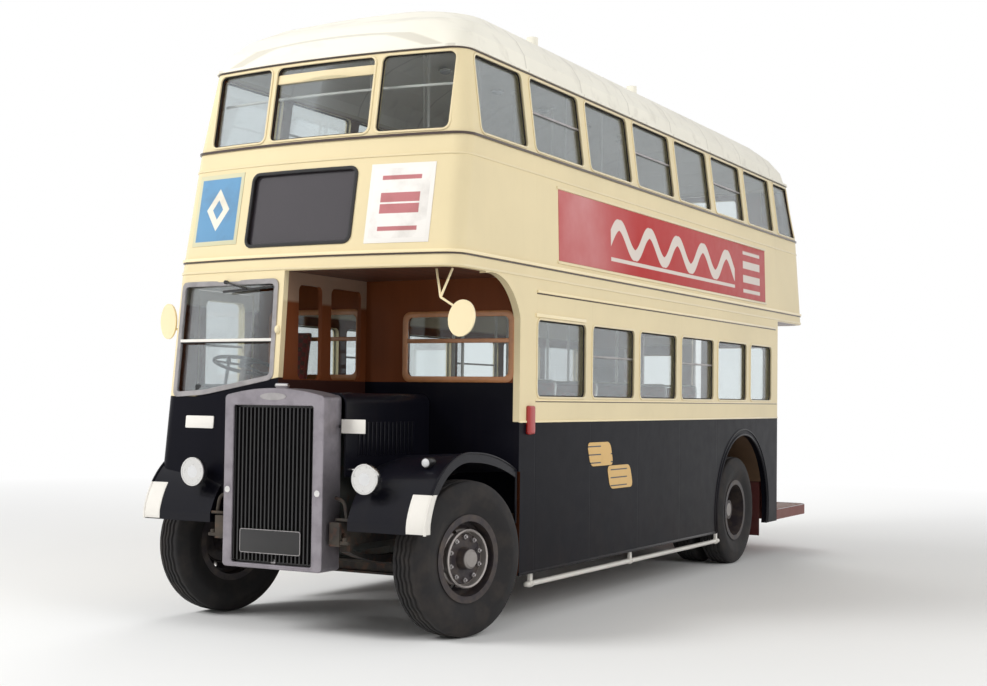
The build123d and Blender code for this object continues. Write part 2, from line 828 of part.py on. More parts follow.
def build_radiator():
    """The tall radiator: rounded shell, upright slats and filler cap."""
    half, low, high = radiator_half, radiator_bottom, radiator_shoulder
    edges = [
        Line((-half, low), (-half, high)),
        ThreePointArc((-half, high), (0, radiator_crown), (half, high)),
        Line((half, high), (half, low)),
        Line((half, low), (-half, low)),
    ]
    face = make_face(edges)
    face = fillet(face.vertices(), 28.0)
    shell = slab_y(face, front_end, radiator_back)
    front_edges = shell.edges().group_by(Axis.Y)[0]
    shell = fillet(front_edges, 12.0)
    opening = rect(-grille_half, grille_half, grille_bottom, grille_top, grille_radius)
    shell -= slab_y(opening, front_end, front_end + 60.0)
    write("radiator_shell", shell + upright(0, front_end + 95.0, radiator_crown - 6.0, 42.0, 38.0))

    pitch = 2 * grille_half / grille_slats
    gap = glass_gap
    backing = rect(gap - grille_half, grille_half - gap, grille_bottom + gap, grille_top - gap,
                   grille_radius - gap)
    slats = [slab_y(backing, front_end + 40.0, front_end + 60.0)]
    low, high = grille_bottom + grille_radius, grille_top - grille_radius
    for number in range(grille_slats):
        x = -grille_half + pitch * (number + 0.5)
        slats.append(block(x - 5.0, x + 5.0, front_end + 14.0, front_end + 40.0, low, high))
    write("radiator_slats", join(slats))


bonnet_hinge_x = cab_inner_x + 20.0
bonnet_bead = 9.0
bonnet_pin = 4.0


def build_bonnet():
    """The bonnet: top and nearside in one sheet, hinged along the cab."""
    y0 = radiator_back + moving_gap
    y1 = bulkhead_y - moving_gap
    top = bonnet_top
    high = top + bonnet_bead
    low = high - sheet
    side = bonnet_side
    outer = outline((bonnet_hinge_x, high), (side, high), (side, bonnet_bottom),
                    (side - sheet, bonnet_bottom), (side - sheet, low), (bonnet_hinge_x, low))
    corner = outer.vertices().sort_by(Axis.X)[-2:].sort_by(Axis.Y)[-1]
    outer = fillet([corner], 70.0)
    inner = outer.vertices().sort_by_distance((side - sheet, low))[0]
    outer = fillet([inner], 58.0)
    lid = slab_y(outer, y0, y1)
    lid += rod((bonnet_hinge_x, y0, top), (bonnet_hinge_x, y1, top), bonnet_bead)
    lid -= rod((bonnet_hinge_x, y0, top), (bonnet_hinge_x, y1, top), bonnet_pin + pin_clearance)
    write("bonnet", lid)


engine = (-270.0, 290.0, radiator_back + 150.0, bulkhead_y - 30.0, 520.0, 1400.0)
sump_bottom = 330.0


def cross_member(y, half_length):
    """A beam across the frame that fills both channels at y."""
    reach = rail_x + rail_width / 2 - channel_wall
    low, high = rail_bottom + channel_wall, rail_top - channel_wall
    return block(-reach, reach, y - half_length, y + half_length, low, high)


def build_engine():
    """The engine as one plain block on its bearers, and the line behind it."""
    x0, x1, y0, y1, z0, z1 = engine
    sump = block(x0, x1, front_axle_y + 230.0, y1, sump_bottom, z0)
    write("engine", join([block(x0, x1, y0, y1, z0, z1), sump, cross_member(y0 + 300.0, 50.0)]))
    box = block(-150.0, 150.0, gearbox_y, gearbox_y + 600.0, 480.0, floor_underside)
    box += cross_member(gearbox_y + 290.0, 40.0)
    front_shaft = rod((0, y1, shaft_z), (0, gearbox_y + 10.0, shaft_z), 38.0)
    rear_shaft = rod((0, gearbox_y + 590.0, shaft_z), (0, rear_axle_y, tyre_radius), 40.0)
    rear_shaft = rear_shaft & block(-200, 200, gearbox_y, rear_axle_y - banjo_half, 0, 1000)
    write("driveline", join([box, front_shaft, rear_shaft]))


gearbox_y = bulkhead_y + 900.0
shaft_z = 555.0
banjo_half = 120.0
banjo_radius = 180.0


def banjo_solid():
    """The round casing in the middle of the rear axle."""
    front = (0, rear_axle_y - banjo_half, tyre_radius)
    drum = rod(front, (0, rear_axle_y + banjo_half, tyre_radius), banjo_radius)
    return fillet(drum.edges().filter_by(GeomType.CIRCLE), 60.0)


# Chassis and axles

dumb_iron_setback = 50.0
tow_setback = 45.0
tow_z = 665.0
tow_radius = 20.0


def build_chassis():
    """Two channel rails joined by cross members."""
    front = front_end + dumb_iron_setback
    rear = saloon_end - 60.0
    half = rail_width / 2
    member = rect(rail_x - half, rail_x + half, rail_bottom, rail_top)
    low, high = rail_bottom + channel_wall, rail_top - channel_wall
    hollow = rect(rail_x - half - 1, rail_x + half - channel_wall, low, high)
    rail = slab_y(member - hollow, front, rear)
    pieces = [rail, mirrored(rail)]
    stations = (radiator_back + 30.0, bulkhead_y + 340.0, gearbox_y + 760.0, gearbox_y + 1600.0,
                rear_axle_y - 500.0, rear_axle_y + 520.0, rear - 60.0)
    pieces += [cross_member(y, 30.0) for y in stations]
    for sign in (1, -1):
        x = sign * rail_x
        pieces.append(block(x - half, x + half, front, front + 110.0, rail_bottom, rail_top))
    frame = join(pieces)
    for sign in (1, -1):
        start = (sign * rail_x - rail_width, front + tow_setback, tow_z)
        frame -= rod(start, (sign * rail_x + rail_width, front + tow_setback, tow_z), tow_radius)
    write("chassis_frame", frame)


def floor_bearers():
    """Cross bearers from the nearside rail out to the body side."""
    bearers = []
    for number in range(bay_count):
        y = pillar_line(number) + 110.0
        if abs(y - rear_axle_y) > arch_radius + 60.0:
            bearers.append(block(rail_x + rail_width / 2, inner_x, y - 30, y + 30, rail_top - 90, rail_top))
    return bearers


spring_thickness = 50.0
spring_tip = 14.0


def leaf_spring(y, z, half_length, drop, x):
    """A bowed leaf spring pack under a rail."""
    tip = z + drop - spring_tip
    top = ThreePointArc((y - half_length, z + drop), (y, z), (y + half_length, z + drop))
    low = ThreePointArc((y + half_length, tip), (y, z - spring_thickness), (y - half_length, tip))
    face = make_face([top, Line(top @ 1, low @ 0), low, Line(low @ 1, top @ 0)])
    pack = slab_x(face, x - 38.0, x + 38.0)
    for end in (y - half_length + 20.0, y + half_length - 20.0):
        pack += block(x - 38.0, x + 38.0, end - 20.0, end + 20.0, tip, rail_bottom)
    return pack


spring_half = 560.0
front_spring_z = 500.0
rear_spring_z = 425.0


def build_springs():
    """Leaf springs at both axles."""
    packs = []
    for x in (rail_x, -rail_x):
        packs.append(leaf_spring(front_axle_y, front_spring_z, spring_half, 70.0, x))
        packs.append(leaf_spring(rear_axle_y, rear_spring_z, spring_half + 100.0, 130.0, x))
    write("leaf_springs", *packs)


spring_seat_gap = 0.5
beam_z = 400.0
eye_half = 60.0


def build_front_axle():
    """The forged front beam with its kingpin eyes."""
    section = outline((-35, -45), (35, -45), (35, -31), (10, -25), (10, 25), (35, 31), (35, 45), (-35, 45),
                      (-35, 31), (-10, 25), (-10, -25), (-35, -31))
    plane = Plane(origin=(-560.0, front_axle_y, beam_z), x_dir=(0, 1, 0), z_dir=(1, 0, 0))
    beam = extrude(plane * section, 1120.0)
    for sign in (1, -1):
        start = (sign * 550.0, front_axle_y, beam_z)
        end = (sign * kingpin_x, front_axle_y, tyre_radius)
        beam += rod(start, end, 32.0)
        beam += block(sign * rail_x - 38.0, sign * rail_x + 38.0, front_axle_y - 60, front_axle_y + 60,
                      beam_z + 40.0, front_spring_z - 50.0)
        eye = Pos(sign * kingpin_x, front_axle_y, tyre_radius) * Cylinder(46.0, 2 * eye_half)
        beam += eye
    for sign in (1, -1):
        bore = Cylinder(kingpin_radius + pin_clearance, 4 * eye_half)
        beam -= Pos(sign * kingpin_x, front_axle_y, tyre_radius) * bore
    write("front_axle", beam)


def build_rear_axle():
    """The rear axle casing with its round middle and spring seats."""
    y, z = rear_axle_y, tyre_radius
    casing = rod((-hub_reach, y, z), (hub_reach, y, z), rear_tube_radius) + banjo_solid()
    for sign in (1, -1):
        casing += block(sign * rail_x - 38.0, sign * rail_x + 38.0, rear_axle_y - 40, rear_axle_y + 40,
                        rear_spring_z + spring_seat_gap, tyre_radius)
    ends = [rod((sign * (hub_reach - 1.0), y, z), (sign * rear_stub_end, y, z), stub_radius)
            for sign in (1, -1)]
    write("rear_axle", join([casing] + ends))


rear_tube_radius = 70.0
hub_reach = rear_outer_half - twin_spacing - tyre_width / 2 + 10.0
rear_stub_end = rear_outer_half + 20.0


# Wheels

def tyre_solid(x):
    """A plain tyre with bulged walls, centred at x."""
    half = tyre_width / 2
    bead = rim_radius + 12.0
    tread = half * 0.76
    edges = [
        Line((-half * 0.72, bead), (half * 0.72, bead)),
        Line((half * 0.72, bead), (half * 0.72, bead + 26.0)),
        ThreePointArc((half * 0.72, bead + 26.0), (half, bead + 130.0), (tread, tyre_radius - 12.0)),
        Line((tread, tyre_radius - 12.0), (tread * 0.7, tyre_radius)),
        Line((tread * 0.7, tyre_radius), (-tread * 0.7, tyre_radius)),
        Line((-tread * 0.7, tyre_radius), (-tread, tyre_radius - 12.0)),
        ThreePointArc((-tread, tyre_radius - 12.0), (-half, bead + 130.0), (-half * 0.72, bead + 26.0)),
        Line((-half * 0.72, bead + 26.0), (-half * 0.72, bead)),
    ]
    section = Plane.XY * make_face(edges)
    return Pos(x, 0, 0) * revolve(section, Axis.X)


def turned(points):
    """A turned piece about the axle, from (x, radius) points."""
    return revolve(Plane.XY * outline(*points), Axis.X)


ring_holes = 8
rim_bead = rim_radius + 11.7
rim_lip = 20.0


def rim_solid(middle):
    """A rim with a low lip at each edge, centred on the axle at middle."""
    half = tyre_width / 2
    face = half * 0.78
    seat = half * 0.74
    low, high = rim_bead - 24.0, rim_bead + rim_lip
    profile = [(-face, low), (face, low), (face, high), (seat, high), (seat, rim_bead), (-seat, rim_bead),
               (-seat, high), (-face, high)]
    return turned([(middle + across, radius) for across, radius in profile])


def front_wheel_solid():
    """Rim, dished disc, drum, hub and nut ring of a front wheel, about its own middle."""
    bead = rim_bead
    disc = turned([(40.0, 60.0), (52.0, 60.0), (52.0, 160.0), (10.0, 215.0), (10.0, bead - 20),
                   (-2.0, bead - 20), (-2.0, 210.0), (40.0, 155.0)])
    for number in range(ring_holes):
        angle = radians(360.0 / ring_holes * (number + 0.5))
        hole = Pos(0, 190.0 * cos(angle), 190.0 * sin(angle)) * Rot(0, 90, 0) * Cylinder(18.0, 200.0)
        disc -= hole
    hub = turned([(-60.0, stub_radius + pin_clearance), (100.0, stub_radius + pin_clearance), (100.0, 0),
                  (126.0, 0), (126.0, 50.0), (110.0, 66.0), (52.0, 74.0), (52.0, 120.0), (40.0, 120.0),
                  (40.0, 80.0), (-60.0, 80.0)])
    ring = turned([(40.0, 168.0), (90.0, 176.0), (98.0, 184.0), (90.0, 191.0), (80.0, 191.0), (34.0, 178.0)])
    return rim_solid(0) + disc + hub + ring


def rear_wheel_solid(outer, inner):
    """Two rims back to back on one deep hub, at their places along the axle."""
    half = tyre_width / 2
    pieces = [rim_solid(outer), rim_solid(inner)]
    joint = (outer + inner) / 2
    low = rim_bead - 20.0
    pieces.append(turned([(joint - 12.0, 100.0), (joint + 12.0, 100.0), (joint + 12.0, 190.0),
                          (outer - half * 0.6, low), (inner + half * 0.6, low), (joint - 12.0, 190.0)]))
    end = rear_stub_end + 14.0
    start = hub_reach + 3.0
    bore = stub_radius + pin_clearance
    pieces.append(turned([(start, bore), (rear_stub_end + 2.0, bore),
                          (rear_stub_end + 2.0, 0), (end, 0), (end, 90.0), (joint + 40.0, 105.0),
                          (joint + 12.0, 150.0), (joint - 12.0, 150.0), (start, 150.0)]))
    return join(pieces)


def steered(shape, sign):
    """A front part turned about its kingpin to the angle in which the bus stands."""
    place = Pos(sign * kingpin_x, front_axle_y, 0)
    return place * Rot(0, 0, -rest_steer) * Pos(-sign * kingpin_x, -front_axle_y, 0) * shape


ear_thickness = 36.0
ear_gap = 0.3
ear_radius = 48.0
arm_thickness = 24.0
ball_drop = 30.0


def knuckle_solid():
    """The nearside stub axle with its kingpin and steering arm, set straight ahead."""
    x, y, z = kingpin_x, front_axle_y, tyre_radius
    ear = eye_half + ear_gap
    low, high = z - ear - ear_thickness, z + ear + ear_thickness
    pieces = [upright(x, y, z + ear, ear_radius, ear_thickness),
              upright(x, y, low, ear_radius, ear_thickness),
              upright(x, y, low, kingpin_radius, high - low)]
    pieces.append(block(x + 52.0, x + 86.0, y - 48, y + 48, low, high))
    for foot in (z + ear, low):
        pieces.append(block(x, x + 60.0, y - 40, y + 40, foot, foot + ear_thickness))
    pieces.append(rod((x + 80.0, y, z), (front_track_half + 98.0, y, z), stub_radius))
    arm_y = y + steering_arm
    pieces.append(block(x - 24.0, x + 24.0, y, arm_y, low, low + arm_thickness))
    pieces.append(upright(x, arm_y, low, 26.0, arm_thickness))
    pieces.append(upright(x, arm_y, low - ball_drop, rod_pin, ball_drop + 1.0))
    return join(pieces)


rod_pin = 12.0
rod_radius = 11.0
rod_eye = 28.0
rod_eye_radius = 27.0
open_pin_clearance = 0.4


def build_steering():
    """Knuckles, their wheels and the rod that joins them."""
    near = knuckle_solid()
    write("knuckle_nearside", steered(near, 1))
    write("knuckle_offside", steered(mirrored(near), -1))
    wheel = Pos(front_track_half, front_axle_y, tyre_radius) * front_wheel_solid()
    tyre = Pos(0, front_axle_y, tyre_radius) * tyre_solid(front_track_half)
    write("wheel_front_nearside", steered(wheel, 1))
    write("tyre_front_nearside", steered(tyre, 1))
    write("wheel_front_offside", steered(mirrored(wheel), -1))
    write("tyre_front_offside", steered(mirrored(tyre), -1))

    turn = radians(rest_steer)
    y = front_axle_y + steering_arm * cos(turn)
    shift = steering_arm * sin(turn)
    z = tyre_radius - eye_half - ear_gap - ear_thickness - ball_drop
    near, off = kingpin_x + shift, shift - kingpin_x
    middle = z + rod_eye / 2
    bar = rod((off + 20, y, middle), (near - 20, y, middle), rod_radius)
    for x in (off, near):
        bar += upright(x, y, z, rod_eye_radius, rod_eye)
    bar -= upright(near, y, z - 10, rod_pin + pin_clearance, 2 * rod_eye)
    bar -= upright(off, y, z - 10, rod_pin + open_pin_clearance, 2 * rod_eye)
    write("track_rod", bar)


def build_rear_wheels():
    """Twin wheels and tyres at the back."""
    outer = rear_outer_half
    inner = rear_outer_half - twin_spacing
    place = Pos(0, rear_axle_y, tyre_radius)
    wheel = place * rear_wheel_solid(outer, inner)
    tyres = [place * tyre_solid(outer), place * tyre_solid(inner)]
    write("wheels_rear_nearside", wheel)
    write("wheels_rear_offside", mirrored(wheel))
    write("tyres_rear_nearside", *tyres)
    write("tyres_rear_offside", *[mirrored(one) for one in tyres])


# Underneath

tank = (163.0 - inner_x, -520.0, 400.0, 655.0)
tank_y = (-700.0, 250.0)
tank_straps = (-500.0, 50.0)
pipe_x = 620.0
pipe_z = 560.0
silencer_y = (-1500.0, -500.0)
silencer_radius = 95.0
pipe_radius = 28.0
pipe_hangers = (-1300.0, -750.0)


def hanger(x, y, half_x, half_y, z):
    """A strap from z up to the underside of the floor."""
    return block(x - half_x, x + half_x, y - half_y, y + half_y, z, floor_underside)


def build_tank_and_exhaust():
    """Fuel tank on the offside, silencer and tail pipe."""
    body = slab_y(rect(*tank, 90.0), *tank_y)
    straps = [hanger((tank[0] + tank[1]) / 2, y, 60.0, 25.0, tank[3] - 5.0) for y in tank_straps]
    write("fuel_tank", join([body] + straps))
    start, end = silencer_y
    silencer = rod((pipe_x, start, pipe_z), (pipe_x, end, pipe_z), silencer_radius)
    run = [(pipe_x, end, pipe_z), (pipe_x, 600.0, pipe_z), (250.0, 1000.0, pipe_z), (250.0, 1400.0, pipe_z)]
    pipe = tube_run(run, pipe_radius, 90.0)
    hangers = [hanger(pipe_x, y, 20.0, 15.0, pipe_z + silencer_radius - 15.0) for y in pipe_hangers]
    write("exhaust", join([silencer, pipe] + hangers))


guard_z = 257.0
guard_radius = 19.0
flap_foot_z = 210.0


def build_guards():
    """White tube guard rails between the wheels, and the mud flaps."""
    x = half_width - 60.0
    front = bulkhead_y + 245.0
    rear = rear_axle_y - tyre_radius - 25.0
    bar = rod((x, front, guard_z), (x, rear, guard_z), guard_radius)
    for y in (front + 60.0, (front + rear) / 2 - 120.0, rear - 60.0):
        bar += block(x - 10.0, inner_x, y - 20, y + 20, guard_z, skirt_z + 60.0)
    write("guard_rails", bar, mirrored(bar))
    y = rear_axle_y + arch_radius - 30.0
    flap = block(wheel_box_x + 60, inner_x - 20, y, y + sheet, flap_foot_z, floor_underside)
    write("mud_flaps", flap, mirrored(flap))


# Lamps and mirrors

def build_lamps():
    """Headlamps on brackets, and the small red and side lamps."""
    lamps = []
    cab_space = cab_solid(-wing_gap) & block(-wide, cab_inner_x, front_end, bulkhead_y, cab_bottom, deck_z)
    for x in (689.0, -689.0):
        y = front_end + 35.0
        bowl = revolve(Plane.XY * make_face([
            ThreePointArc((0, 120.0), (68.0, 88.0), (92.0, 0)),
            Line((92.0, 0), (0, 0)),
            Line((0, 0), (0, 120.0))]), Axis.Y)
        lamp = Pos(x, y, 1031.0) * bowl
        stay = block(x - 14.0, x + 14.0, y + 60.0, y + 150.0, 960.0, 1010.0)
        lamps.append(lamp + stay - wing_space() - mirrored(wing_space()) - cab_space)
    write("headlamps", *lamps)


near_mirror = (95.0, 118.0, -14.0)
off_mirror = (70.0, 125.0, 0.0)
mirror_thickness = 16.0
mirror_arm = 8.0


def mirror_disc(x, y, z, radii):
    """An oval mirror that faces back, tilted in its own plane."""
    plane = Plane(origin=(x, y, z), x_dir=(1, 0, 0), z_dir=(0, -1, 0))
    return extrude(plane * Rot(0, 0, radii[2]) * Ellipse(radii[0], radii[1]), mirror_thickness)


def build_mirrors():
    """Oval mirrors on their arms, both sides."""
    side = half_width
    knuckle = (side - 160.0, front_end + 440.0, 2190.0)
    disc_x = mirror_reach - near_mirror[0] - 3.0
    root_y, disc_y = front_end + 500.0, front_end + 400.0
    arm = tube_run([(side - 230.0, root_y, deck_z), knuckle, (disc_x, disc_y, 2090.0)], mirror_arm, 30.0)
    arm += rod((side - 110.0, root_y, deck_z), knuckle, mirror_arm)
    arm = arm & block(0, 2 * wide, 2 * front_end, 0, 0, deck_z)
    near = arm + mirror_disc(disc_x, disc_y - 6.0, 2050.0, near_mirror)
    disc_x = off_mirror[0] - mirror_reach
    root_y, disc_y = front_end + 470.0, front_end + 360.0
    arm = tube_run([(-side, root_y, 1990.0), (-side - 40.0, root_y, 1990.0), (disc_x, disc_y, 2040.0)],
                   mirror_arm, 15.0)
    write("mirrors", near, arm + mirror_disc(disc_x, disc_y + 4.0, 2060.0, off_mirror))


# Seats and cab fittings

def seat_profile(y, z):
    """A seat from the side: cushion and leaning back, facing forward."""
    front, back, low = y - 210.0, y + 190.0, z + seat_underside
    return outline((front, low), (front, z + 440.0), (y + 120.0, z + 425.0), (y + 185.0, z + 900.0),
                   (y + 255.0, z + 900.0), (back, low))


def bench(x0, x1, y, z):
    """One padded bench for two."""
    return slab_x(seat_profile(y, z), x0, x1)


def bench_legs(x0, x1, y, z):
    """The plain stand under a bench."""
    stand = block(x0 + 60, x1 - 60, y - 150, y - 130, z, z + seat_underside)
    stand += block(x0 + 60, x1 - 60, y + 130, y + 150, z, z + seat_underside)
    stand += block(x0 + 60, x1 - 60, y - 150, y + 150, z + seat_underside - 20.0, z + seat_underside)
    return stand


aisle_half = 230.0
seat_width = inner_x - aisle_half - 43.0
lower_rows = 5
upper_rows = 7
seat_gap = 0.3
seat_underside = 330.0


def build_seats():
    """Rows of benches on both decks."""
    pads = []
    stands = []
    # columns: rows, first row, spacing, floor
    for rows, first, pitch, z in ((lower_rows, bulkhead_y + 560.0, 720.0, floor_top),
                                  (upper_rows, front_end + 1250.0, 760.0, upper_floor_top)):
        for row in range(rows):
            y = first + row * pitch
            for x0, x1 in ((aisle_half, aisle_half + seat_width), (-aisle_half - seat_width, -aisle_half)):
                pads.append(bench(x0, x1, y, z + seat_gap))
                stands.append(bench_legs(x0, x1, y, z))
    side = side_bench()
    driver = bench(driver_x - 165.0, driver_x + 165.0, bulkhead_y - 290.0,
                   cab_floor_top + driver_seat_height - seat_underside + seat_gap)
    write("seat_pads", *pads, side, mirrored(side), driver)
    write("seat_stands", *stands)


def side_bench():
    """The inward-facing bench on the nearside wheel box."""
    base = tyre_radius + arch_radius + sheet + seat_gap
    edge, wall = wheel_box_x + 30.0, inner_x - 8.0
    profile = outline((edge, base), (edge, base + 95.0), (wall - 97.0, base + 85.0),
                      (wall - 72.0, base + 300.0), (wall, base + 300.0), (wall, base))
    return slab_y(profile, rear_axle_y - 690.0, rear_axle_y + 690.0)


driver_x = -700.0
driver_seat_height = 250.0
column_angle = 75.0
column_length = 560.0
column_radius = 24.0
wheel_ring = 215.0


def column_points():
    """The lower and upper end of the steering column."""
    foot = (driver_x, front_end + 440.0, cab_floor_top)
    lean = radians(column_angle)
    top = (foot[0], foot[1] + column_length * cos(lean), foot[2] + column_length * sin(lean))
    return foot, top


def build_steering_wheel():
    """A three-spoke wheel on a hub over the column's end."""
    foot, top = column_points()
    axis = Vector(*top) - Vector(*foot)
    plane = Plane(origin=top, x_dir=(1, 0, 0), z_dir=axis)
    ring = Torus(wheel_ring, 13.0)
    hub = upright(0, 0, -20.0, 40.0, 50.0) - upright(0, 0, -20.0, column_radius + pin_clearance, 20.0)
    wheel = ring + hub
    for number in range(3):
        wheel += Rot(0, 0, 120.0 * number + 90.0) * block(30.0, wheel_ring, -14.0, 14.0, -5.0, 5.0)
    write("steering_wheel", plane * wheel)


pole_radius = 16.0


def build_poles():
    """Upright grab poles on the platform and by the bulkhead."""
    # columns: x, y
    places = ((inner_x - 33.0, saloon_end + 120.0), (rear_panel_x + 60.0, rear_face - 120.0))
    write("platform_poles", *[rod((x, y, platform_top), (x, y, deck_z), pole_radius) for x, y in places])


def main():
    """Every sub-part of the bus, one after another."""
    build_chassis()
    build_springs()
    build_front_axle()
    build_rear_axle()
    build_steering()
    build_rear_wheels()
    build_engine()
    build_tank_and_exhaust()
    build_radiator()
    build_bonnet()
    build_wings()
    build_cab()
    build_cab_inside()
    build_cab_door()
    build_steering_wheel()
    build_floors()
    build_bulkheads()
    build_platform()
    build_rear_panel()
    build_staircase()
    build_upper_body()
    build_destination_box()
    build_roof()
    build_rear_flap()
    build_guards()
    build_lamps()
    build_mirrors()
    build_seats()
    build_poles()


main()
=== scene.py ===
import json
import math

import bpy
from bpy.props import FloatProperty, FloatVectorProperty, IntProperty, PointerProperty
from mathutils import Matrix, Vector


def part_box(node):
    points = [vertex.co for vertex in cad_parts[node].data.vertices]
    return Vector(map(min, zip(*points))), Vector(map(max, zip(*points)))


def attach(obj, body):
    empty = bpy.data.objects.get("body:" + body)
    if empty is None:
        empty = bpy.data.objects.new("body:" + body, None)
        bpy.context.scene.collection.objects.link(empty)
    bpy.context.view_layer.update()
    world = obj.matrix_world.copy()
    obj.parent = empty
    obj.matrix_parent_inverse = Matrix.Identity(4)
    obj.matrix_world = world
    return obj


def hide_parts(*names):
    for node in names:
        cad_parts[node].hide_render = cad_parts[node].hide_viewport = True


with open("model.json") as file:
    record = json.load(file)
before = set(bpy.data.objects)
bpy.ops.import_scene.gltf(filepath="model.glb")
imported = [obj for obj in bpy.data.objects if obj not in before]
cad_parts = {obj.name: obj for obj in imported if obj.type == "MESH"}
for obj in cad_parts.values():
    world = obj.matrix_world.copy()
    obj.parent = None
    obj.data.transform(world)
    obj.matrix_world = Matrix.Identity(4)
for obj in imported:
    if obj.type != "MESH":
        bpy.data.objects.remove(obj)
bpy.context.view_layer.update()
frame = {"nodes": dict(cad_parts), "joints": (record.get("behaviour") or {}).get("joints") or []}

bl_info = {
    "name": "Half-cab double decker bus",
    "version": (1, 0, 0),
    "blender": (4, 5, 0),
    "location": "View3D > Sidebar > Bus",
    "description": "Dresses the bus: paint, mouldings, window frames, seats, tyres and fittings",
    "category": "Object",
}

# Places read from the frame, in metres
JOINTS = {joint["name"]: joint for joint in frame["joints"]}
SIDE_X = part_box("lower_side_nearside")[1].x
SKIRT_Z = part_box("lower_side_nearside")[0].z
DECK_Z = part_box("lower_side_nearside")[1].z
BULKHEAD_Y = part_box("lower_side_offside")[0].y
SALOON_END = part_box("lower_side_offside")[1].y
GUTTER_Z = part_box("upper_side_nearside")[1].z
FIRST_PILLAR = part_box("upper_side_nearside")[0].y
UPPER_FLOOR_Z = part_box("upper_floor")[1].z
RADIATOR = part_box("radiator_shell")
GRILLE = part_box("radiator_slats")
FRONT_Y = RADIATOR[0].y
PLATFORM_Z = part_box("platform_poles")[0].z
REAR_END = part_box("platform")[1].y
BAYS = 6
BAY = (SALOON_END - FIRST_PILLAR) / BAYS
TYRE_R = JOINTS["wheel_spin_rear_nearside"]["pos_m"][2]
REAR_AXLE_Y = JOINTS["wheel_spin_rear_nearside"]["pos_m"][1]
KINGPIN = Vector(JOINTS["steer_nearside"]["pos_m"])
FRONT_SPIN = JOINTS["wheel_spin_front_nearside"]
STEER = math.atan2(FRONT_SPIN["axis"][1], FRONT_SPIN["axis"][0])
CREASE_ANGLE = math.radians(35)
BODY = "body"
SIDES = ((1, "nearside"), (-1, "offside"))

# Heights where the upper walls start to lean, and where the bulkhead's dark paint ends
SILL_Z = 3.262
BULKHEAD_WAIST = 1.655


def srgb(red, green, blue):
    """A colour as a paint chart gives it, made linear for the shader."""
    shares = [channel / 255 for channel in (red, green, blue)]
    return tuple(share / 12.92 if share <= 10 / 255 else ((share + 0.055) / 1.055) ** 2.4 for share in shares)


def colour_property(name, description, value):
    return FloatVectorProperty(name=name, description=description, default=srgb(*value), size=3,
                               subtype="COLOR", min=0.0, max=1.0)


def length_property(name, description, value):
    return FloatProperty(name=name, description=description, default=value, min=0.0,
                         unit="LENGTH", subtype="DISTANCE")


class BusColours(bpy.types.PropertyGroup):
    """Paints and finishes of the bus."""
    cream: colour_property("Cream", "Panels of both decks", (224, 208, 168))
    roof: colour_property("Roof", "Roof paint", (240, 236, 222))
    dark: colour_property("Blue-black", "Lower panels, bonnet and wings", (15, 15, 22))
    silver: colour_property("Radiator", "Dull metal of the radiator shell", (158, 152, 158))
    varnish: colour_property("Varnish", "Varnished framing", (118, 64, 36))
    soffit: colour_property("Soffit", "Brown lining under the canopy", (92, 54, 38))
    platform: colour_property("Platform", "Painted platform edge", (110, 52, 44))
    board: colour_property("Side board", "Red side board", (176, 34, 32))
    blue: colour_property("Blue panel", "Panel beside the route display", (104, 150, 186))
    gold: colour_property("Gold", "Transfer on the lower side", (214, 170, 88))
    moquette: colour_property("Moquette", "Seat cloth", (112, 40, 34))
    leather: colour_property("Leather", "Seat edging", (88, 34, 24))
    rubber: colour_property("Rubber", "Tyres", (24, 22, 23))
    chassis: colour_property("Chassis", "Frame and axles", (34, 32, 31))
    timber: colour_property("Floor timber", "Slatted floors", (96, 72, 50))
    lining: colour_property("Ceiling", "Ceiling panels", (226, 218, 196))
    marker: colour_property("Marker", "Red marker and tail lamps", (160, 26, 22))


class BusSizes(bpy.types.PropertyGroup):
    """Heights and sections of the trim."""
    waist: length_property("Waist", "Bead between cream and dark paint", 1.388)
    rain: length_property("Rain strip", "Strip over the lower windows", 2.289)
    band: length_property("Band strip", "Strip between the decks", 2.473)
    bead: length_property("Upper bead", "Thin bead under the upper windows", 3.12)
    rail: length_property("Upper rail", "Dark sill strip of the upper deck", SILL_Z)
    frame_proud: length_property("Window frame depth", "How far a window frame stands out", 0.007)
    tread_depth: length_property("Tread depth", "Depth of a tyre's grooves", 0.011)
    tread_ribs: IntProperty(name="Tread ribs", description="Ribs round a tyre", default=5, min=3, max=9)
    wheel_nuts: IntProperty(name="Wheel nuts", description="Nuts on each wheel", default=10, min=4, max=16)
    slat_pitch: length_property("Slat pitch", "Spacing of the floor slats", 0.055)


# Shader maths

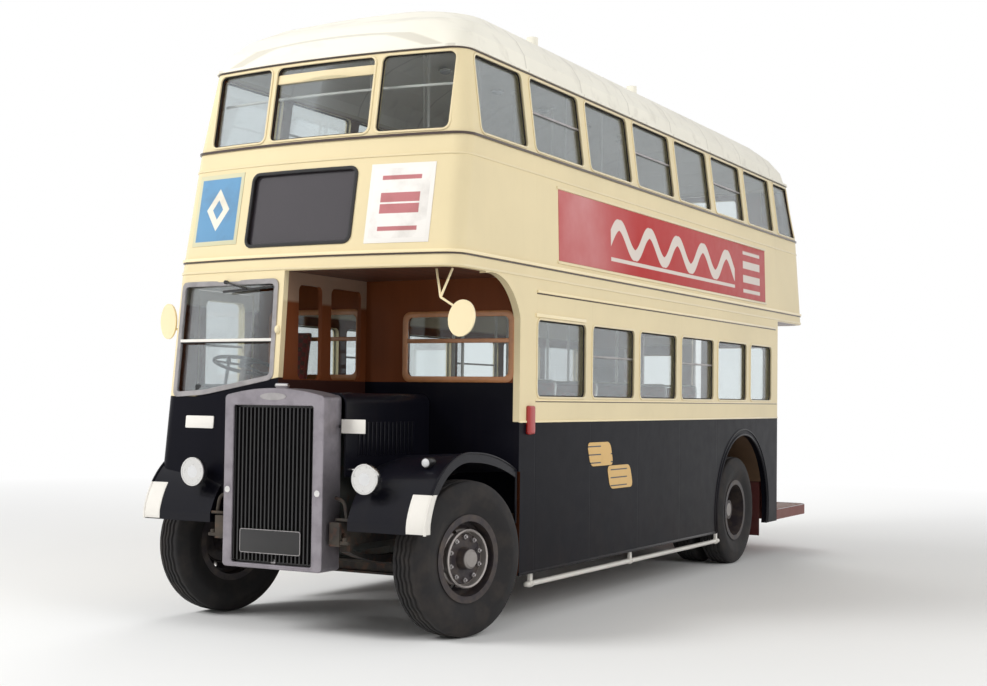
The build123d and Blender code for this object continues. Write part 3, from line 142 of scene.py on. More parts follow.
class Field:
    """A number that changes over a surface. Sums, products and comparisons add Math nodes."""

    def __init__(self, finish, socket):
        self.finish = finish
        self.socket = socket

    def join(self, operation, first, second=0.0, clamp=False):
        settings = {"operation": operation, "use_clamp": clamp}
        node = self.finish.node("ShaderNodeMath", settings, {0: first, 1: second})
        return Field(self.finish, node.outputs[0])

    def __add__(self, other):
        return self.join("ADD", self, other)

    def __radd__(self, other):
        return self.join("ADD", other, self)

    def __sub__(self, other):
        return self.join("SUBTRACT", self, other)

    def __rsub__(self, other):
        return self.join("SUBTRACT", other, self)

    def __mul__(self, other):
        return self.join("MULTIPLY", self, other)

    def __rmul__(self, other):
        return self.join("MULTIPLY", other, self)

    def __truediv__(self, other):
        return self.join("DIVIDE", self, other)

    def __abs__(self):
        return self.join("ABSOLUTE", self)

    def clamp(self):
        return self.join("ADD", self, 0.0, clamp=True)

    def above(self, edge, soft):
        """1 where the number is over the edge, 0 where it is under, soft in between."""
        return ((self - edge) / soft + 0.5).clamp()

    def below(self, edge, soft):
        return 1 - self.above(edge, soft)

    def within(self, low, high, soft):
        return self.above(low, soft) * self.below(high, soft)

    def wave(self, period):
        """A smooth ripple from 0 to 1 with the given spacing."""
        return self.join("SINE", self * (2 * math.pi / period)) * 0.5 + 0.5

    def highest(self, other):
        return self.join("MAXIMUM", self, other)

    def root(self):
        return self.join("SQRT", self)


def plug(tree, socket, value):
    """Links a field or an output to a socket, or sets the socket to a value."""
    source = value.socket if isinstance(value, Field) else value
    if isinstance(source, bpy.types.NodeSocket):
        tree.links.new(source, socket)
    else:
        socket.default_value = (*value, 1.0) if socket.type == "RGBA" and len(value) == 3 else value


def add_node(tree, kind, settings=None, inputs=None):
    """A shader node with its settings, and with its inputs set or linked."""
    node = tree.nodes.new(kind)
    for key, value in (settings or {}).items():
        setattr(node, key, value)
    for key, value in (inputs or {}).items():
        plug(tree, node.inputs[key], value)
    return node


class Finish:
    """One surface finish: a node tree that ends in a Principled shader."""

    def __init__(self, name, **constants):
        self.material = bpy.data.materials.new(name)
        self.material.use_nodes = True
        self.tree = self.material.node_tree
        self.shader = self.tree.nodes["Principled BSDF"]
        self.output = self.tree.nodes["Material Output"]
        self.place = self.node("ShaderNodeTexCoord")
        for socket, value in constants.items():
            self.shader.inputs[socket.replace("_", " ")].default_value = value

    def node(self, kind, settings=None, inputs=None):
        return add_node(self.tree, kind, settings, inputs)

    def plug(self, socket, value):
        plug(self.tree, socket, value)

    def axes(self, output="Object"):
        """The X, Y and Z of the position, or of the normal."""
        parts = self.node("ShaderNodeSeparateXYZ", inputs={0: self.place.outputs[output]})
        return tuple(Field(self, parts.outputs[axis]) for axis in range(3))

    def stretched(self, scale):
        return self.node("ShaderNodeMapping", {"vector_type": "POINT"},
                         {"Vector": self.place.outputs["Object"], "Scale": scale}).outputs[0]

    def noise(self, scale, detail=3.0, stretch=None):
        vector = self.stretched(stretch) if stretch else self.place.outputs["Object"]
        node = self.node("ShaderNodeTexNoise", {"noise_dimensions": "3D"},
                         {"Vector": vector, "Scale": scale, "Detail": detail, "Roughness": 0.55})
        return Field(self, node.outputs["Fac"])

    def cells(self, scale, stretch=None):
        vector = self.stretched(stretch) if stretch else self.place.outputs["Object"]
        node = self.node("ShaderNodeTexVoronoi", {"feature": "F1"}, {"Vector": vector, "Scale": scale})
        return Field(self, node.outputs["Distance"])

    def mix(self, factor, first, second):
        node = self.node("ShaderNodeMix", {"data_type": "RGBA", "blend_type": "MIX"}, {0: factor})
        self.plug(node.inputs[6], first)
        self.plug(node.inputs[7], second)
        return node.outputs[2]

    def colour(self, value):
        self.plug(self.shader.inputs["Base Color"], value)

    def rough(self, value):
        self.plug(self.shader.inputs["Roughness"], value)

    def bump(self, height, strength=0.3, distance=0.002):
        inputs = {"Strength": strength, "Distance": distance, "Height": height}
        self.plug(self.shader.inputs["Normal"], self.node("ShaderNodeBump", inputs=inputs).outputs[0])


def shade(colour, amount):
    """A colour made darker or lighter by a factor."""
    return tuple(min(1.0, channel * amount) for channel in colour)


# Finishes

GRIME = srgb(96, 78, 60)
SOOT = srgb(24, 22, 22)


def weather(finish, colour, amount, top):
    """Road dirt that fades out upwards, and thin streaks that run down."""
    z = finish.axes()[2]
    splash = (finish.noise(3.0, 6.0) - 0.40) * 1.6 + (top - z) * 0.5
    streaks = finish.noise(14.0, 3.0, (1.0, 1.0, 0.06))
    dirt = (splash * z.below(top, 0.9)).clamp() * amount + (streaks - 0.56).clamp() * (amount * 0.6)
    return finish.mix(dirt.clamp(), colour, GRIME)


def gloss_paint(name, colour, dirt=0.25, dirt_top=0.9, rough=0.28, coat=0.5, shine=0.5):
    """Brushed and varnished coach paint with faint brush marks."""
    finish = Finish(name, Coat_Weight=coat, Coat_Roughness=0.12, Specular_IOR_Level=shine)
    tone = finish.noise(1.6, 4.0)
    worn = finish.mix((tone - 0.4).clamp(), shade(colour, 1.04), shade(colour, 0.86))
    finish.colour(weather(finish, worn, dirt, dirt_top))
    finish.rough(rough + finish.noise(9.0, 4.0) * 0.16)
    finish.bump(finish.noise(120.0, 2.0, (1.0, 0.2, 1.0)) + finish.noise(4.0, 2.0) * 3.0, 0.12, 0.002)
    return finish.material


def panel_paint(name, colours, sizes, kind):
    """Paint of a body wall: cream and dark outside, varnish and lining inside."""
    finish = Finish(name, Coat_Roughness=0.14, Specular_IOR_Level=0.05)
    x, y, z = finish.axes()
    nx, ny, _ = finish.axes("Normal")
    outward = (nx * x + ny * y.within(2.95, 9.0, 0.02) * y + ny * y.below(-2.8, 0.02) * y)
    inside = outward.below(-0.15, 0.1)
    tone = finish.noise(1.3, 5.0)
    cream = finish.mix((tone - 0.38).clamp(), shade(colours.cream, 1.05), shade(colours.cream, 0.84))
    fade = finish.noise(0.9, 2.0, (1.0, 1.0, 0.5))
    cream = finish.mix((fade - 0.56).clamp() * 1.3, cream, shade(colours.cream, 1.16))
    dark = finish.mix((tone - 0.4).clamp() * 1.4, shade(colours.dark, 0.9), shade(colours.dark, 1.6))
    pale = z.above(DECK_Z, 0.003)
    if kind == "two tone":
        pale = z.above(sizes.waist, 0.003)
        outer = finish.mix(pale, dark, cream)
    elif kind == "cab":
        front = y.below(BULKHEAD_Y - 0.84, 0.02)
        sill = ((x + 0.76) * 0.18 + 1.552).highest(1.535)
        pale = (z.above(sizes.waist, 0.003) * (1 - front)).highest((z - sill).above(0.0, 0.004) * front)
        outer = finish.mix(pale, dark, cream)
    elif kind == "bulkhead":
        grain = finish.noise(7.0, 5.0, (1.0, 1.0, 0.12))
        wood = finish.mix(grain, shade(colours.varnish, 0.55), colours.varnish)
        outer = finish.mix(z.above(BULKHEAD_WAIST, 0.004), dark, wood)
    else:
        outer = cream
    outer = weather(finish, outer, 0.12, 0.62)
    grain = finish.noise(5.0, 6.0, (1.0, 0.12, 1.0))
    varnish = finish.mix(grain, shade(colours.varnish, 0.55), shade(colours.varnish, 1.15))
    lining = finish.mix(tone, colours.lining, shade(colours.lining, 0.85))
    inner = finish.mix(z.within(2.18, 2.45, 0.02).highest(z.above(3.83, 0.02)), varnish, lining)
    finish.colour(finish.mix(inside, outer, inner))
    finish.plug(finish.shader.inputs["Coat Weight"], pale * 0.3 + 0.04)
    finish.rough(0.26 + finish.noise(7.0, 5.0) * 0.2)
    joints = y.wave(BAY).above(0.9994, 0.0006)
    brushed = finish.noise(90.0, 2.0, (1.0, 0.25, 1.0)) * 0.3
    finish.bump(brushed + finish.noise(2.2, 3.0) * 4.0 - joints * 1.5, 0.16, 0.002)
    return finish.material


def roof_paint(name, colours):
    """Chalky white paint with soot and faint seams across."""
    finish = Finish(name, Coat_Weight=0.15, Coat_Roughness=0.3)
    y = finish.axes()[1]
    tone = finish.noise(1.1, 6.0)
    white = finish.mix((tone - 0.4).clamp() * 1.4, colours.roof, shade(colours.roof, 0.80))
    soot = (finish.noise(6.0, 6.0, (0.25, 1.0, 1.0)) - 0.55).clamp()
    seams = y.wave(BAY).above(0.9990, 0.001)
    finish.colour(finish.mix(soot.highest(seams * 0.25), white, GRIME))
    finish.rough(0.42 + tone * 0.2)
    finish.bump(seams * -2.0 + finish.noise(2.5, 3.0) * 3.0, 0.2, 0.003)
    return finish.material


def dull_metal(name, colour, rough=0.38):
    """Worn plated brass: cloudy, with darker patches and fine polishing marks."""
    finish = Finish(name, Metallic=0.85)
    cloud = finish.noise(9.0, 6.0)
    finish.colour(finish.mix((cloud - 0.42).clamp() * 2.2, colour, shade(colour, 0.62)))
    finish.rough(rough + cloud * 0.22)
    finish.bump(finish.noise(260.0, 2.0, (1.0, 1.0, 0.08)), 0.08, 0.001)
    return finish.material


def bright_metal(name):
    """Plated metal with small dull spots."""
    finish = Finish(name, Metallic=1.0)
    colour = (0.72, 0.71, 0.69)
    spots = finish.noise(40.0, 5.0)
    finish.colour(finish.mix((spots - 0.6).clamp() * 3.0, colour, shade(colour, 0.5)))
    finish.rough(0.16 + spots * 0.14)
    finish.bump(spots, 0.05, 0.001)
    return finish.material


def varnished(name, colour):
    """Varnished timber with its grain along the bus."""
    finish = Finish(name, Coat_Weight=0.6, Coat_Roughness=0.15)
    grain = finish.noise(4.0, 8.0, (1.0, 0.08, 1.0))
    rings = finish.noise(30.0, 3.0, (1.0, 0.04, 1.0))
    finish.colour(finish.mix((grain * 0.6 + rings * 0.5).clamp(), shade(colour, 0.5), shade(colour, 1.25)))
    finish.rough(0.3 + grain * 0.2)
    finish.bump(rings, 0.15, 0.001)
    return finish.material


def rubber(name, colour):
    """Black rubber with dust in the hollows and scuffs on the walls."""
    finish = Finish(name)
    dust = finish.noise(7.0, 6.0)
    finish.colour(finish.mix((dust - 0.44).clamp() * 1.1, colour, srgb(78, 70, 64)))
    finish.rough(0.68 + dust * 0.2)
    finish.bump(finish.noise(180.0, 3.0) + dust * 3.0, 0.25, 0.001)
    return finish.material


def underside(name, colour):
    """Chassis black under dried mud, with rust coming through."""
    finish = Finish(name)
    mud = finish.noise(5.0, 7.0)
    rust = finish.noise(16.0, 6.0)
    base = finish.mix((rust - 0.52).clamp() * 3.0, colour, srgb(104, 56, 32))
    finish.colour(finish.mix((mud - 0.45).clamp() * 1.8, base, srgb(104, 92, 78)))
    finish.rough(0.62 + mud * 0.25)
    finish.bump(mud * 2.0 + rust, 0.35, 0.003)
    return finish.material


def glazing(name, tint, strength):
    """Flat glass: clear face on, mirror-like at a glancing angle, with a film of dust."""
    finish = Finish(name, Metallic=1.0, Roughness=0.03)
    finish.shader.inputs["Base Color"].default_value = (0.86, 0.88, 0.9, 1.0)
    clear = finish.node("ShaderNodeBsdfTransparent", inputs={"Color": tint})
    edge = Field(finish, finish.node("ShaderNodeFresnel", inputs={"IOR": 1.5}).outputs[0])
    film = finish.noise(3.0, 5.0)
    factor = (edge * strength + (film - 0.45).clamp() * 0.08).clamp()
    faces = {0: factor, 1: clear.outputs[0], 2: finish.shader.outputs[0]}
    blend = finish.node("ShaderNodeMixShader", inputs=faces)
    finish.tree.links.new(blend.outputs[0], finish.output.inputs["Surface"])
    return finish.material


def slatted(name, colour, pitch):
    """Worn floor timber with dark gaps between lengthwise slats."""
    finish = Finish(name)
    x = finish.axes()[0]
    gaps = x.wave(pitch).above(0.93, 0.05)
    grain = finish.noise(6.0, 7.0, (1.0, 0.06, 1.0))
    wood = finish.mix(grain, shade(colour, 0.55), shade(colour, 1.2))
    top = finish.axes("Normal")[2].above(0.5, 0.1)
    finish.colour(finish.mix(gaps * top, wood, SOOT))
    finish.rough(0.6 + grain * 0.2)
    finish.bump((1 - gaps) * top * 3.0 + grain * 0.4, 0.5, 0.004)
    return finish.material


def upper_floor_finish(name, colours):
    """Lino above, cream ceiling below and brown lining under the canopy."""
    finish = Finish(name, Coat_Weight=0.2)
    x, y, _ = finish.axes()
    top = finish.axes("Normal")[2].above(0.2, 0.1)
    fleck = finish.noise(60.0, 3.0)
    lino = finish.mix(fleck, srgb(70, 44, 34), srgb(104, 70, 52))
    boards = x.wave(0.14).above(0.97, 0.02)
    grain = finish.noise(5.0, 6.0, (1.0, 0.1, 1.0))
    brown = finish.mix(grain, shade(colours.soffit, 0.7), shade(colours.soffit, 1.2))
    brown = finish.mix(boards, brown, SOOT)
    ceiling = finish.mix(y.below(BULKHEAD_Y, 0.01).highest(y.above(SALOON_END, 0.01)), colours.lining, brown)
    finish.colour(finish.mix(top, ceiling, lino))
    finish.rough(0.4 + fleck * 0.2)
    finish.bump(fleck + boards * -2.0, 0.15, 0.001)
    return finish.material


def cloth(name, colours):
    """Woven moquette: a plain small check in two tones with a raised pile."""
    finish = Finish(name, Sheen_Weight=0.4, Sheen_Roughness=0.5)
    x, y, z = finish.axes()
    weave = x.wave(0.004) * (y + z).wave(0.004)
    check = x.wave(0.075).above(0.5, 0.08)
    cross = (y + z).wave(0.075).above(0.5, 0.08)
    squares = check * cross + (1 - check) * (1 - cross)
    base = finish.mix(squares * 0.8, colours.moquette, srgb(60, 52, 40))
    dots = finish.cells(46.0).below(0.16, 0.08)
    base = finish.mix(dots * 0.6, base, srgb(168, 140, 92))
    finish.colour(finish.mix((finish.noise(5.0, 5.0) - 0.45).clamp(), base, shade(colours.moquette, 0.4)))
    finish.rough(0.9 - weave * 0.1)
    finish.bump(weave + finish.noise(300.0, 2.0), 0.5, 0.001)
    return finish.material


def hide(name, colour):
    """Grained leather, paler where it is worn."""
    finish = Finish(name, Coat_Weight=0.1)
    grain = finish.cells(420.0)
    worn = finish.noise(7.0, 5.0)
    finish.colour(finish.mix((worn - 0.45).clamp() * 1.5, colour, shade(colour, 2.2)))
    finish.rough(0.42 + worn * 0.2)
    finish.bump(grain + worn, 0.3, 0.001)
    return finish.material


def lens(name, colour):
    """Moulded lamp glass with fine upright flutes, with painted shade and highlight across each flute."""
    finish = Finish(name, Coat_Weight=1.0, Coat_Roughness=0.05)
    flutes = finish.axes()[0].wave(0.008)
    # the flutes' wave in the colour is painted shade and highlight across each flute; the noise adds random
    # tone
    finish.colour(finish.mix(flutes * 0.4 + finish.noise(12.0, 3.0) * 0.3, shade(colour, 1.1),
                             shade(colour, 0.7)))
    finish.rough(0.12 + flutes * 0.1)
    finish.bump(flutes, 0.4, 0.002)
    return finish.material


def wheel_paint(name, joint):
    """A painted wheel, with a bright nut ring and hub that are told by their distance from its axle."""
    finish = Finish(name, Coat_Weight=0.2)
    px, py, pz = (place - centre for place, centre in zip(finish.axes(), joint["pos_m"]))
    axis_x, axis_y = joint["axis"][:2]
    along = px * axis_x + py * axis_y
    side = px * axis_y - py * axis_x
    radius = (side * side + pz * pz).root()
    proud = abs(along).above(0.03, 0.004)
    bright = radius.within(0.166, 0.1935, 0.002) * proud
    hub = radius.below(0.062, 0.004) * proud
    dirt = finish.noise(12.0, 6.0)
    base = finish.mix((dirt - 0.42).clamp() * 1.8, srgb(40, 34, 38), srgb(92, 80, 68))
    metal = finish.mix(dirt * 0.5, srgb(196, 190, 186), srgb(120, 112, 106))
    mask = bright.highest(hub * 0.6)
    finish.colour(finish.mix(mask, base, metal))
    finish.plug(finish.shader.inputs["Metallic"], mask * 0.8)
    finish.rough(0.5 + dirt * 0.25 - mask * 0.2)
    finish.bump(dirt, 0.25, 0.002)
    return finish.material


def side_board(name, colours):
    """A plain red board with a generic pale wave, a line and bars, faded at its front."""
    finish = Finish(name, Coat_Weight=0.1, Specular_IOR_Level=0.2)
    _, y, z = finish.axes()
    period, height, thick = 0.62, 0.105, 0.042
    swell = (y.wave(period) - 0.5) * (2 * height) + 2.815
    slope = abs((y + period / 4).wave(period) - 0.5) * 2
    ribbon = (abs(z - swell) / (slope * 0.55 + 1.0)).below(thick, 0.006)
    line = z.within(2.625, 2.655, 0.004)
    ribbon = ribbon.highest(line) * y.within(-1.25, 1.62, 0.01)
    bars = z.wave(0.135).above(0.45, 0.1) * y.within(1.86, 2.36, 0.01) * z.within(2.60, 3.0, 0.01)
    mark = ribbon.highest(bars)
    faded = y.below(-1.25, 1.1) * finish.noise(1.6, 4.0)
    red = finish.mix((faded * 1.4).clamp() * 0.6, colours.board, srgb(222, 178, 178))
    finish.colour(finish.mix(mark * 0.94, red, srgb(222, 214, 204)))
    finish.rough(0.32 + finish.noise(8.0, 4.0) * 0.2)
    finish.bump(mark * 0.5 + finish.noise(3.0, 3.0), 0.15, 0.002)
    return finish.material


BOARDS = {"blue_board": (-1.02, -0.585, 2.58, 3.09), "white_board": (0.475, 0.935, 2.54, 3.07)}


def front_board(name, frame_colour, field_colour, mark_colour, kind):
    """A paper board with a plain border and a generic shape in its middle."""
    finish = Finish(name)
    x, _, z = finish.axes()
    x0, x1, z0, z1 = BOARDS[name]
    half_x, half_z = (x1 - x0) / 2, (z1 - z0) / 2
    u, v = abs(x - (x0 + x1) / 2), abs(z - (z0 + z1) / 2)
    border = u.above(half_x - 0.028, 0.002).highest(v.above(half_z - 0.032, 0.002))
    if kind == "diamond":
        shape = (u / 0.11 + v / 0.15).below(1.0, 0.05)
        core = (u / 0.05 + v / 0.07).below(1.0, 0.08)
        mark = shape * (1 - core)
    else:
        mark = v.wave(0.15).above(0.62, 0.05) * u.below(half_x - 0.09, 0.004) * v.below(half_z - 0.08, 0.004)
    paper = finish.mix(mark, field_colour, mark_colour)
    stain = finish.noise(5.0, 6.0)
    paper = finish.mix((stain - 0.48).clamp(), paper, GRIME)
    finish.colour(finish.mix(border, paper, frame_colour))
    finish.rough(0.5 + stain * 0.2)
    finish.bump(stain, 0.2, 0.001)
    return finish.material


def gold_transfer(name, colours):
    """A gold panel with dark cut lines."""
    finish = Finish(name, Coat_Weight=0.4)
    _, y, z = finish.axes()
    lines = z.wave(0.062).above(0.94, 0.03) * (y + 1.2).wave(0.5).above(0.3, 0.05)
    worn = finish.noise(9.0, 5.0)
    base = finish.mix((worn - 0.5).clamp(), colours.gold, shade(colours.gold, 0.7))
    finish.colour(finish.mix(lines, base, colours.dark))
    finish.rough(0.34 + worn * 0.15)
    finish.bump(worn, 0.1, 0.001)
    return finish.material


# Modelling tools

def clear_selection():
    """Leaves edit mode and selects nothing."""
    if bpy.context.mode != "OBJECT":
        bpy.ops.object.mode_set(mode="OBJECT")
    bpy.ops.object.select_all(action="DESELECT")


def pick(obj):
    """Selects one object alone and makes it active."""
    clear_selection()
    obj.select_set(True)
    bpy.context.view_layer.objects.active = obj
    return obj


def modify(obj, kind, **settings):
    """Adds a modifier, sets it and applies it."""
    pick(obj)
    bpy.ops.object.modifier_add(type=kind)
    modifier = obj.modifiers[-1]
    for key, value in settings.items():
        setattr(modifier, key, value)
    bpy.ops.object.modifier_apply(modifier=modifier.name)
    return obj


def soften(obj, width, segments=2):
    """Rounds the sharp edges."""
    return modify(obj, "BEVEL", width=width, segments=segments, limit_method="ANGLE",
                  angle_limit=CREASE_ANGLE)


def settle():
    """Applies the new object's place to its mesh."""
    bpy.ops.object.transform_apply(location=True, rotation=True, scale=True)
    return bpy.context.object


def block(low, high, bevel=0.003, segments=2):
    """A rounded bar or plate between two corners."""
    low, high = Vector(low), Vector(high)
    clear_selection()
    bpy.ops.mesh.primitive_cube_add(size=1.0, location=(low + high) / 2)
    bpy.context.object.scale = high - low
    return soften(settle(), min(bevel, min(high - low) * 0.45), segments)


def rod(start, end, radius, sides=14, bevel=0.0):
    """A round bar between two points."""
    start, end = Vector(start), Vector(end)
    axis = end - start
    turn = axis.to_track_quat("Z", "Y").to_euler()
    clear_selection()
    bpy.ops.mesh.primitive_cylinder_add(vertices=sides, radius=radius, depth=axis.length,
                                        location=(start + end) / 2, rotation=turn)
    obj = settle()
    return soften(obj, bevel) if bevel else obj


def ball(centre, radii, segments=20, rings=12):
    """A round-ended knob."""
    clear_selection()
    bpy.ops.mesh.primitive_uv_sphere_add(segments=segments, ring_count=rings, radius=1.0, location=centre)
    bpy.context.object.scale = radii
    return settle()


def loop(points):
    """A closed outline through the points."""
    clear_selection()
    bpy.ops.mesh.primitive_circle_add(vertices=len(points), radius=1.0, fill_type="NOTHING")
    obj = bpy.context.object
    for vertex, point in zip(obj.data.vertices, points):
        vertex.co = point
    return obj


def edit(obj, *steps):
    """Runs edit-mode steps on the whole mesh; each is an operator with its settings."""
    pick(obj)
    bpy.ops.object.mode_set(mode="EDIT")
    bpy.ops.mesh.select_all(action="SELECT")
    for operator, settings in steps:
        operator(**settings)
    bpy.ops.object.mode_set(mode="OBJECT")
    return obj


def outward(obj):
    """Merges doubles and turns every face outwards."""
    return edit(obj, (bpy.ops.mesh.remove_doubles, {"threshold": 1e-5}),
                (bpy.ops.mesh.normals_make_consistent, {"inside": False}))


def open_chain(points):
    """An open line through the points."""
    obj = loop(points)
    ends = {0, len(points) - 1}
    pick(obj)
    bpy.ops.object.mode_set(mode="EDIT")
    bpy.ops.mesh.select_mode(type="EDGE")
    bpy.ops.mesh.select_all(action="DESELECT")
    bpy.ops.object.mode_set(mode="OBJECT")
    for edge in obj.data.edges:
        edge.select = set(edge.vertices) == ends
    bpy.ops.object.mode_set(mode="EDIT")
    bpy.ops.mesh.delete(type="EDGE")
    bpy.ops.mesh.select_mode(type="VERT")
    bpy.ops.object.mode_set(mode="OBJECT")
    return obj


def tube(points, radius, closed=False, resolution=2):
    """A round bar along the points."""
    pick(loop(points) if closed else open_chain(points))
    bpy.ops.object.convert(target="CURVE")
    curve = bpy.context.object.data
    curve.bevel_depth = radius
    curve.bevel_resolution = resolution
    curve.use_fill_caps = not closed
    bpy.ops.object.convert(target="MESH")
    return outward(bpy.context.object)


def bent(points, bend, steps=5):
    """A line through the points with its corners rounded."""
    points = [Vector(p) for p in points]
    path = [points[0]]
    for before, corner, after in zip(points, points[1:], points[2:]):
        to_before = (before - corner).normalized()
        to_after = (after - corner).normalized()
        reach = min(bend, (before - corner).length * 0.45, (after - corner).length * 0.45)
        start, end = corner + to_before * reach, corner + to_after * reach
        for number in range(steps + 1):
            t = number / steps
            path.append(start * (1 - t) ** 2 + corner * 2 * t * (1 - t) + end * t**2)
    path.append(points[-1])
    return path


def band(points, height, thickness, closed=True, bevel=0.003):
    """A flat strip that stands along the points, as thick on both sides of them."""
    obj = loop(points) if closed else open_chain(points)
    edit(obj, (bpy.ops.mesh.extrude_region_move, {"TRANSFORM_OT_translate": {"value": (0.0, 0.0, height)}}))
    modify(obj, "SOLIDIFY", thickness=thickness, offset=0.0, use_even_offset=True)
    outward(obj)
    return soften(obj, bevel) if bevel else obj


def ring(outer, inner):
    """The flat surface between two outlines with as many points."""
    obj = merge([loop(outer), loop(inner)])
    return edit(obj, (bpy.ops.mesh.bridge_edge_loops, {}))


def plate(points):
    """The flat surface inside an outline."""
    return edit(loop(points), (bpy.ops.mesh.edge_face_add, {}))


def thicken(obj, thickness, bevel=0.0):
    """Gives a surface its thickness, half to each side, and soft edges."""
    modify(obj, "SOLIDIFY", thickness=thickness, offset=0.0)
    outward(obj)
    return soften(obj, bevel) if bevel else obj


def turned(profile, steps):
    """A closed profile of (across, radius) points, spun about the X axis."""
    obj = loop([(across, 0.0, radius) for across, radius in profile])
    spin = {"steps": steps, "angle": 2 * math.pi, "center": (0.0, 0.0, 0.0), "axis": (1.0, 0.0, 0.0)}
    edit(obj, (bpy.ops.mesh.spin, spin))
    return outward(obj)


def merge(objects):
    """Several objects made into one."""
    objects = list(objects)
    pick(objects[0])
    for obj in objects[1:]:
        obj.select_set(True)
    if len(objects) > 1:
        bpy.ops.object.join()
    return bpy.context.view_layer.objects.active


def copied(obj, matrices):
    """Copies of a modelled piece at other places, each with its own mesh, joined together."""
    made = []
    for matrix in matrices:
        twin = obj.copy()
        twin.data = obj.data.copy()
        twin.data.transform(matrix)
        if matrix.determinant() < 0:
            twin.data.flip_normals()
        bpy.context.collection.objects.link(twin)
        made.append(twin)
    bpy.data.objects.remove(obj)
    return merge(made)


def shift(x=0.0, y=0.0, z=0.0):
    """A move, as a matrix."""
    return Matrix.Translation((x, y, z))


MIRROR = Matrix.Diagonal((-1.0, 1.0, 1.0, 1.0))
BOTH_SIDES = (Matrix.Identity(4), MIRROR)


def facing(sign):
    """What takes a nearside piece to the side asked for."""
    return BOTH_SIDES[0 if sign > 0 else 1]


def on_side(obj, sign):
    """A piece modelled on the nearside, on the side asked for."""
    return copied(obj, [facing(sign)])


def both_sides(obj):
    return copied(obj, BOTH_SIDES)


def spaced(start, step, count):
    """Places in a row."""
    return [shift(*(Vector(start) + Vector(step) * number)) for number in range(count)]


def bend_mesh(obj, place):
    """Moves each vertex to where a function of its place says."""
    for vertex in obj.data.vertices:
        vertex.co = place(vertex.co)
    return obj


def rounded(u0, u1, v0, v1, radius, steps=4):
    """Points of a rectangle with rounded corners, anticlockwise."""
    points = []
    corners = ((u1 - radius, v0 + radius, -90), (u1 - radius, v1 - radius, 0),
               (u0 + radius, v1 - radius, 90), (u0 + radius, v0 + radius, 180))
    for u, v, start in corners:
        for number in range(steps + 1):
            angle = math.radians(start + 90 * number / steps)
            points.append((u + radius * math.cos(angle), v + radius * math.sin(angle)))
    return points


def filled(points, steps, parts=6):
    """The points of a rounded rectangle, with more along its straight sides."""
    result = []
    for number, point in enumerate(points):
        result.append(point)
        if number % (steps + 1) == steps:
            after = points[(number + 1) % len(points)]
            result += [tuple(a + (b - a) * i / parts for a, b in zip(point, after)) for i in range(1, parts)]
    return result


def moved_in(points, distance):
    """An anticlockwise outline of straight edges, with each edge moved in by a distance."""
    points = [Vector(p) for p in points]
    count = len(points)
    result = []
    for i in range(count):
        before, corner, after = points[i - 1], points[i], points[(i + 1) % count]
        a, b = (corner - before).normalized(), (after - corner).normalized()
        normal_a, normal_b = Vector((-a.y, a.x)), Vector((-b.y, b.x))
        result.append(corner + (normal_a + normal_b) * (distance / (1 + normal_a.dot(normal_b))))
    return result


def round_corners(points, radius, steps=5):
    """A closed outline with each corner rounded."""
    points = [Vector(p) for p in points]
    middle = (points[-1] + points[0]) / 2
    return bent([middle] + points + [middle], radius * 0.6, steps)[:-1]


def front_sides(low, high):
    """The left, right, lower and upper side of a box, seen from the front."""
    return low[0], high[0], low[2], high[2]


def frame_round(box, lap, inset, radii, thickness, bevel, place, steps=5):
    """A frame round an opening, from a lap outside it to an inset inside it."""
    u0, u1, v0, v1 = box
    outer = rounded(u0 - lap, u1 + lap, v0 - lap, v1 + lap, radii[0], steps)
    inner = rounded(u0 + inset, u1 - inset, v0 + inset, v1 - inset, radii[1], steps)
    return thicken(ring([place(u, v) for u, v in outer], [place(u, v) for u, v in inner]), thickness, bevel)


def stepped(x0, x1, z0, z1, steps):
    """A rectangle's outline with points along its level sides, which lets it follow a bowed wall."""
    points = [(x0 + (x1 - x0) * i / steps, z0) for i in range(steps + 1)]
    return points + [(x1 - (x1 - x0) * i / steps, z1) for i in range(steps + 1)]


def dress(obj, name, key, body=BODY):
    """Names a piece, gives it its finish and its body."""
    pick(obj)
    obj.name = name
    obj.data.name = name
    obj.data.materials.clear()
    obj.data.materials.append(MADE[key])
    bpy.ops.object.shade_smooth_by_angle(angle=CREASE_ANGLE)
    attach(obj, body)
    return obj


# The body's surface, read from its walls

def cross_section(nodes, height):
    """The convex outline of some CAD nodes at a height, as (x, y) points, anticlockwise."""
    cut = set()
    for name in nodes:
        mesh = frame["nodes"][name].data
        for edge in mesh.edges:
            a, b = (mesh.vertices[i].co for i in edge.vertices)
            if (a.z - height) * (b.z - height) < 0:
                t = (height - a.z) / (b.z - a.z)
                cut.add((round(a.x + (b.x - a.x) * t, 5), round(a.y + (b.y - a.y) * t, 5)))
    return convex_outline(sorted(cut))


def convex_outline(points):
    """The points on the outside of a set, anticlockwise."""
    def half(ordered):
        chain = []
        for point in ordered:
            while len(chain) > 1 and turn(chain[-2], chain[-1], point) <= 1e-9:
                chain.pop()
            chain.append(point)
        return chain[:-1]

    def turn(a, b, c):
        return (b[0] - a[0]) * (c[1] - a[1]) - (b[1] - a[1]) * (c[0] - a[0])

    return half(points) + half(points[::-1])


UPPER_WALLS = ("upper_front_body", "upper_side_nearside", "upper_side_offside", "upper_rear_body")
WALL_LEVELS = (DECK_Z + 0.004, SILL_Z - 0.007, SILL_Z + 0.010, GUTTER_Z - 0.004)
WALL_OUTLINES = [cross_section(UPPER_WALLS, level) for level in WALL_LEVELS]


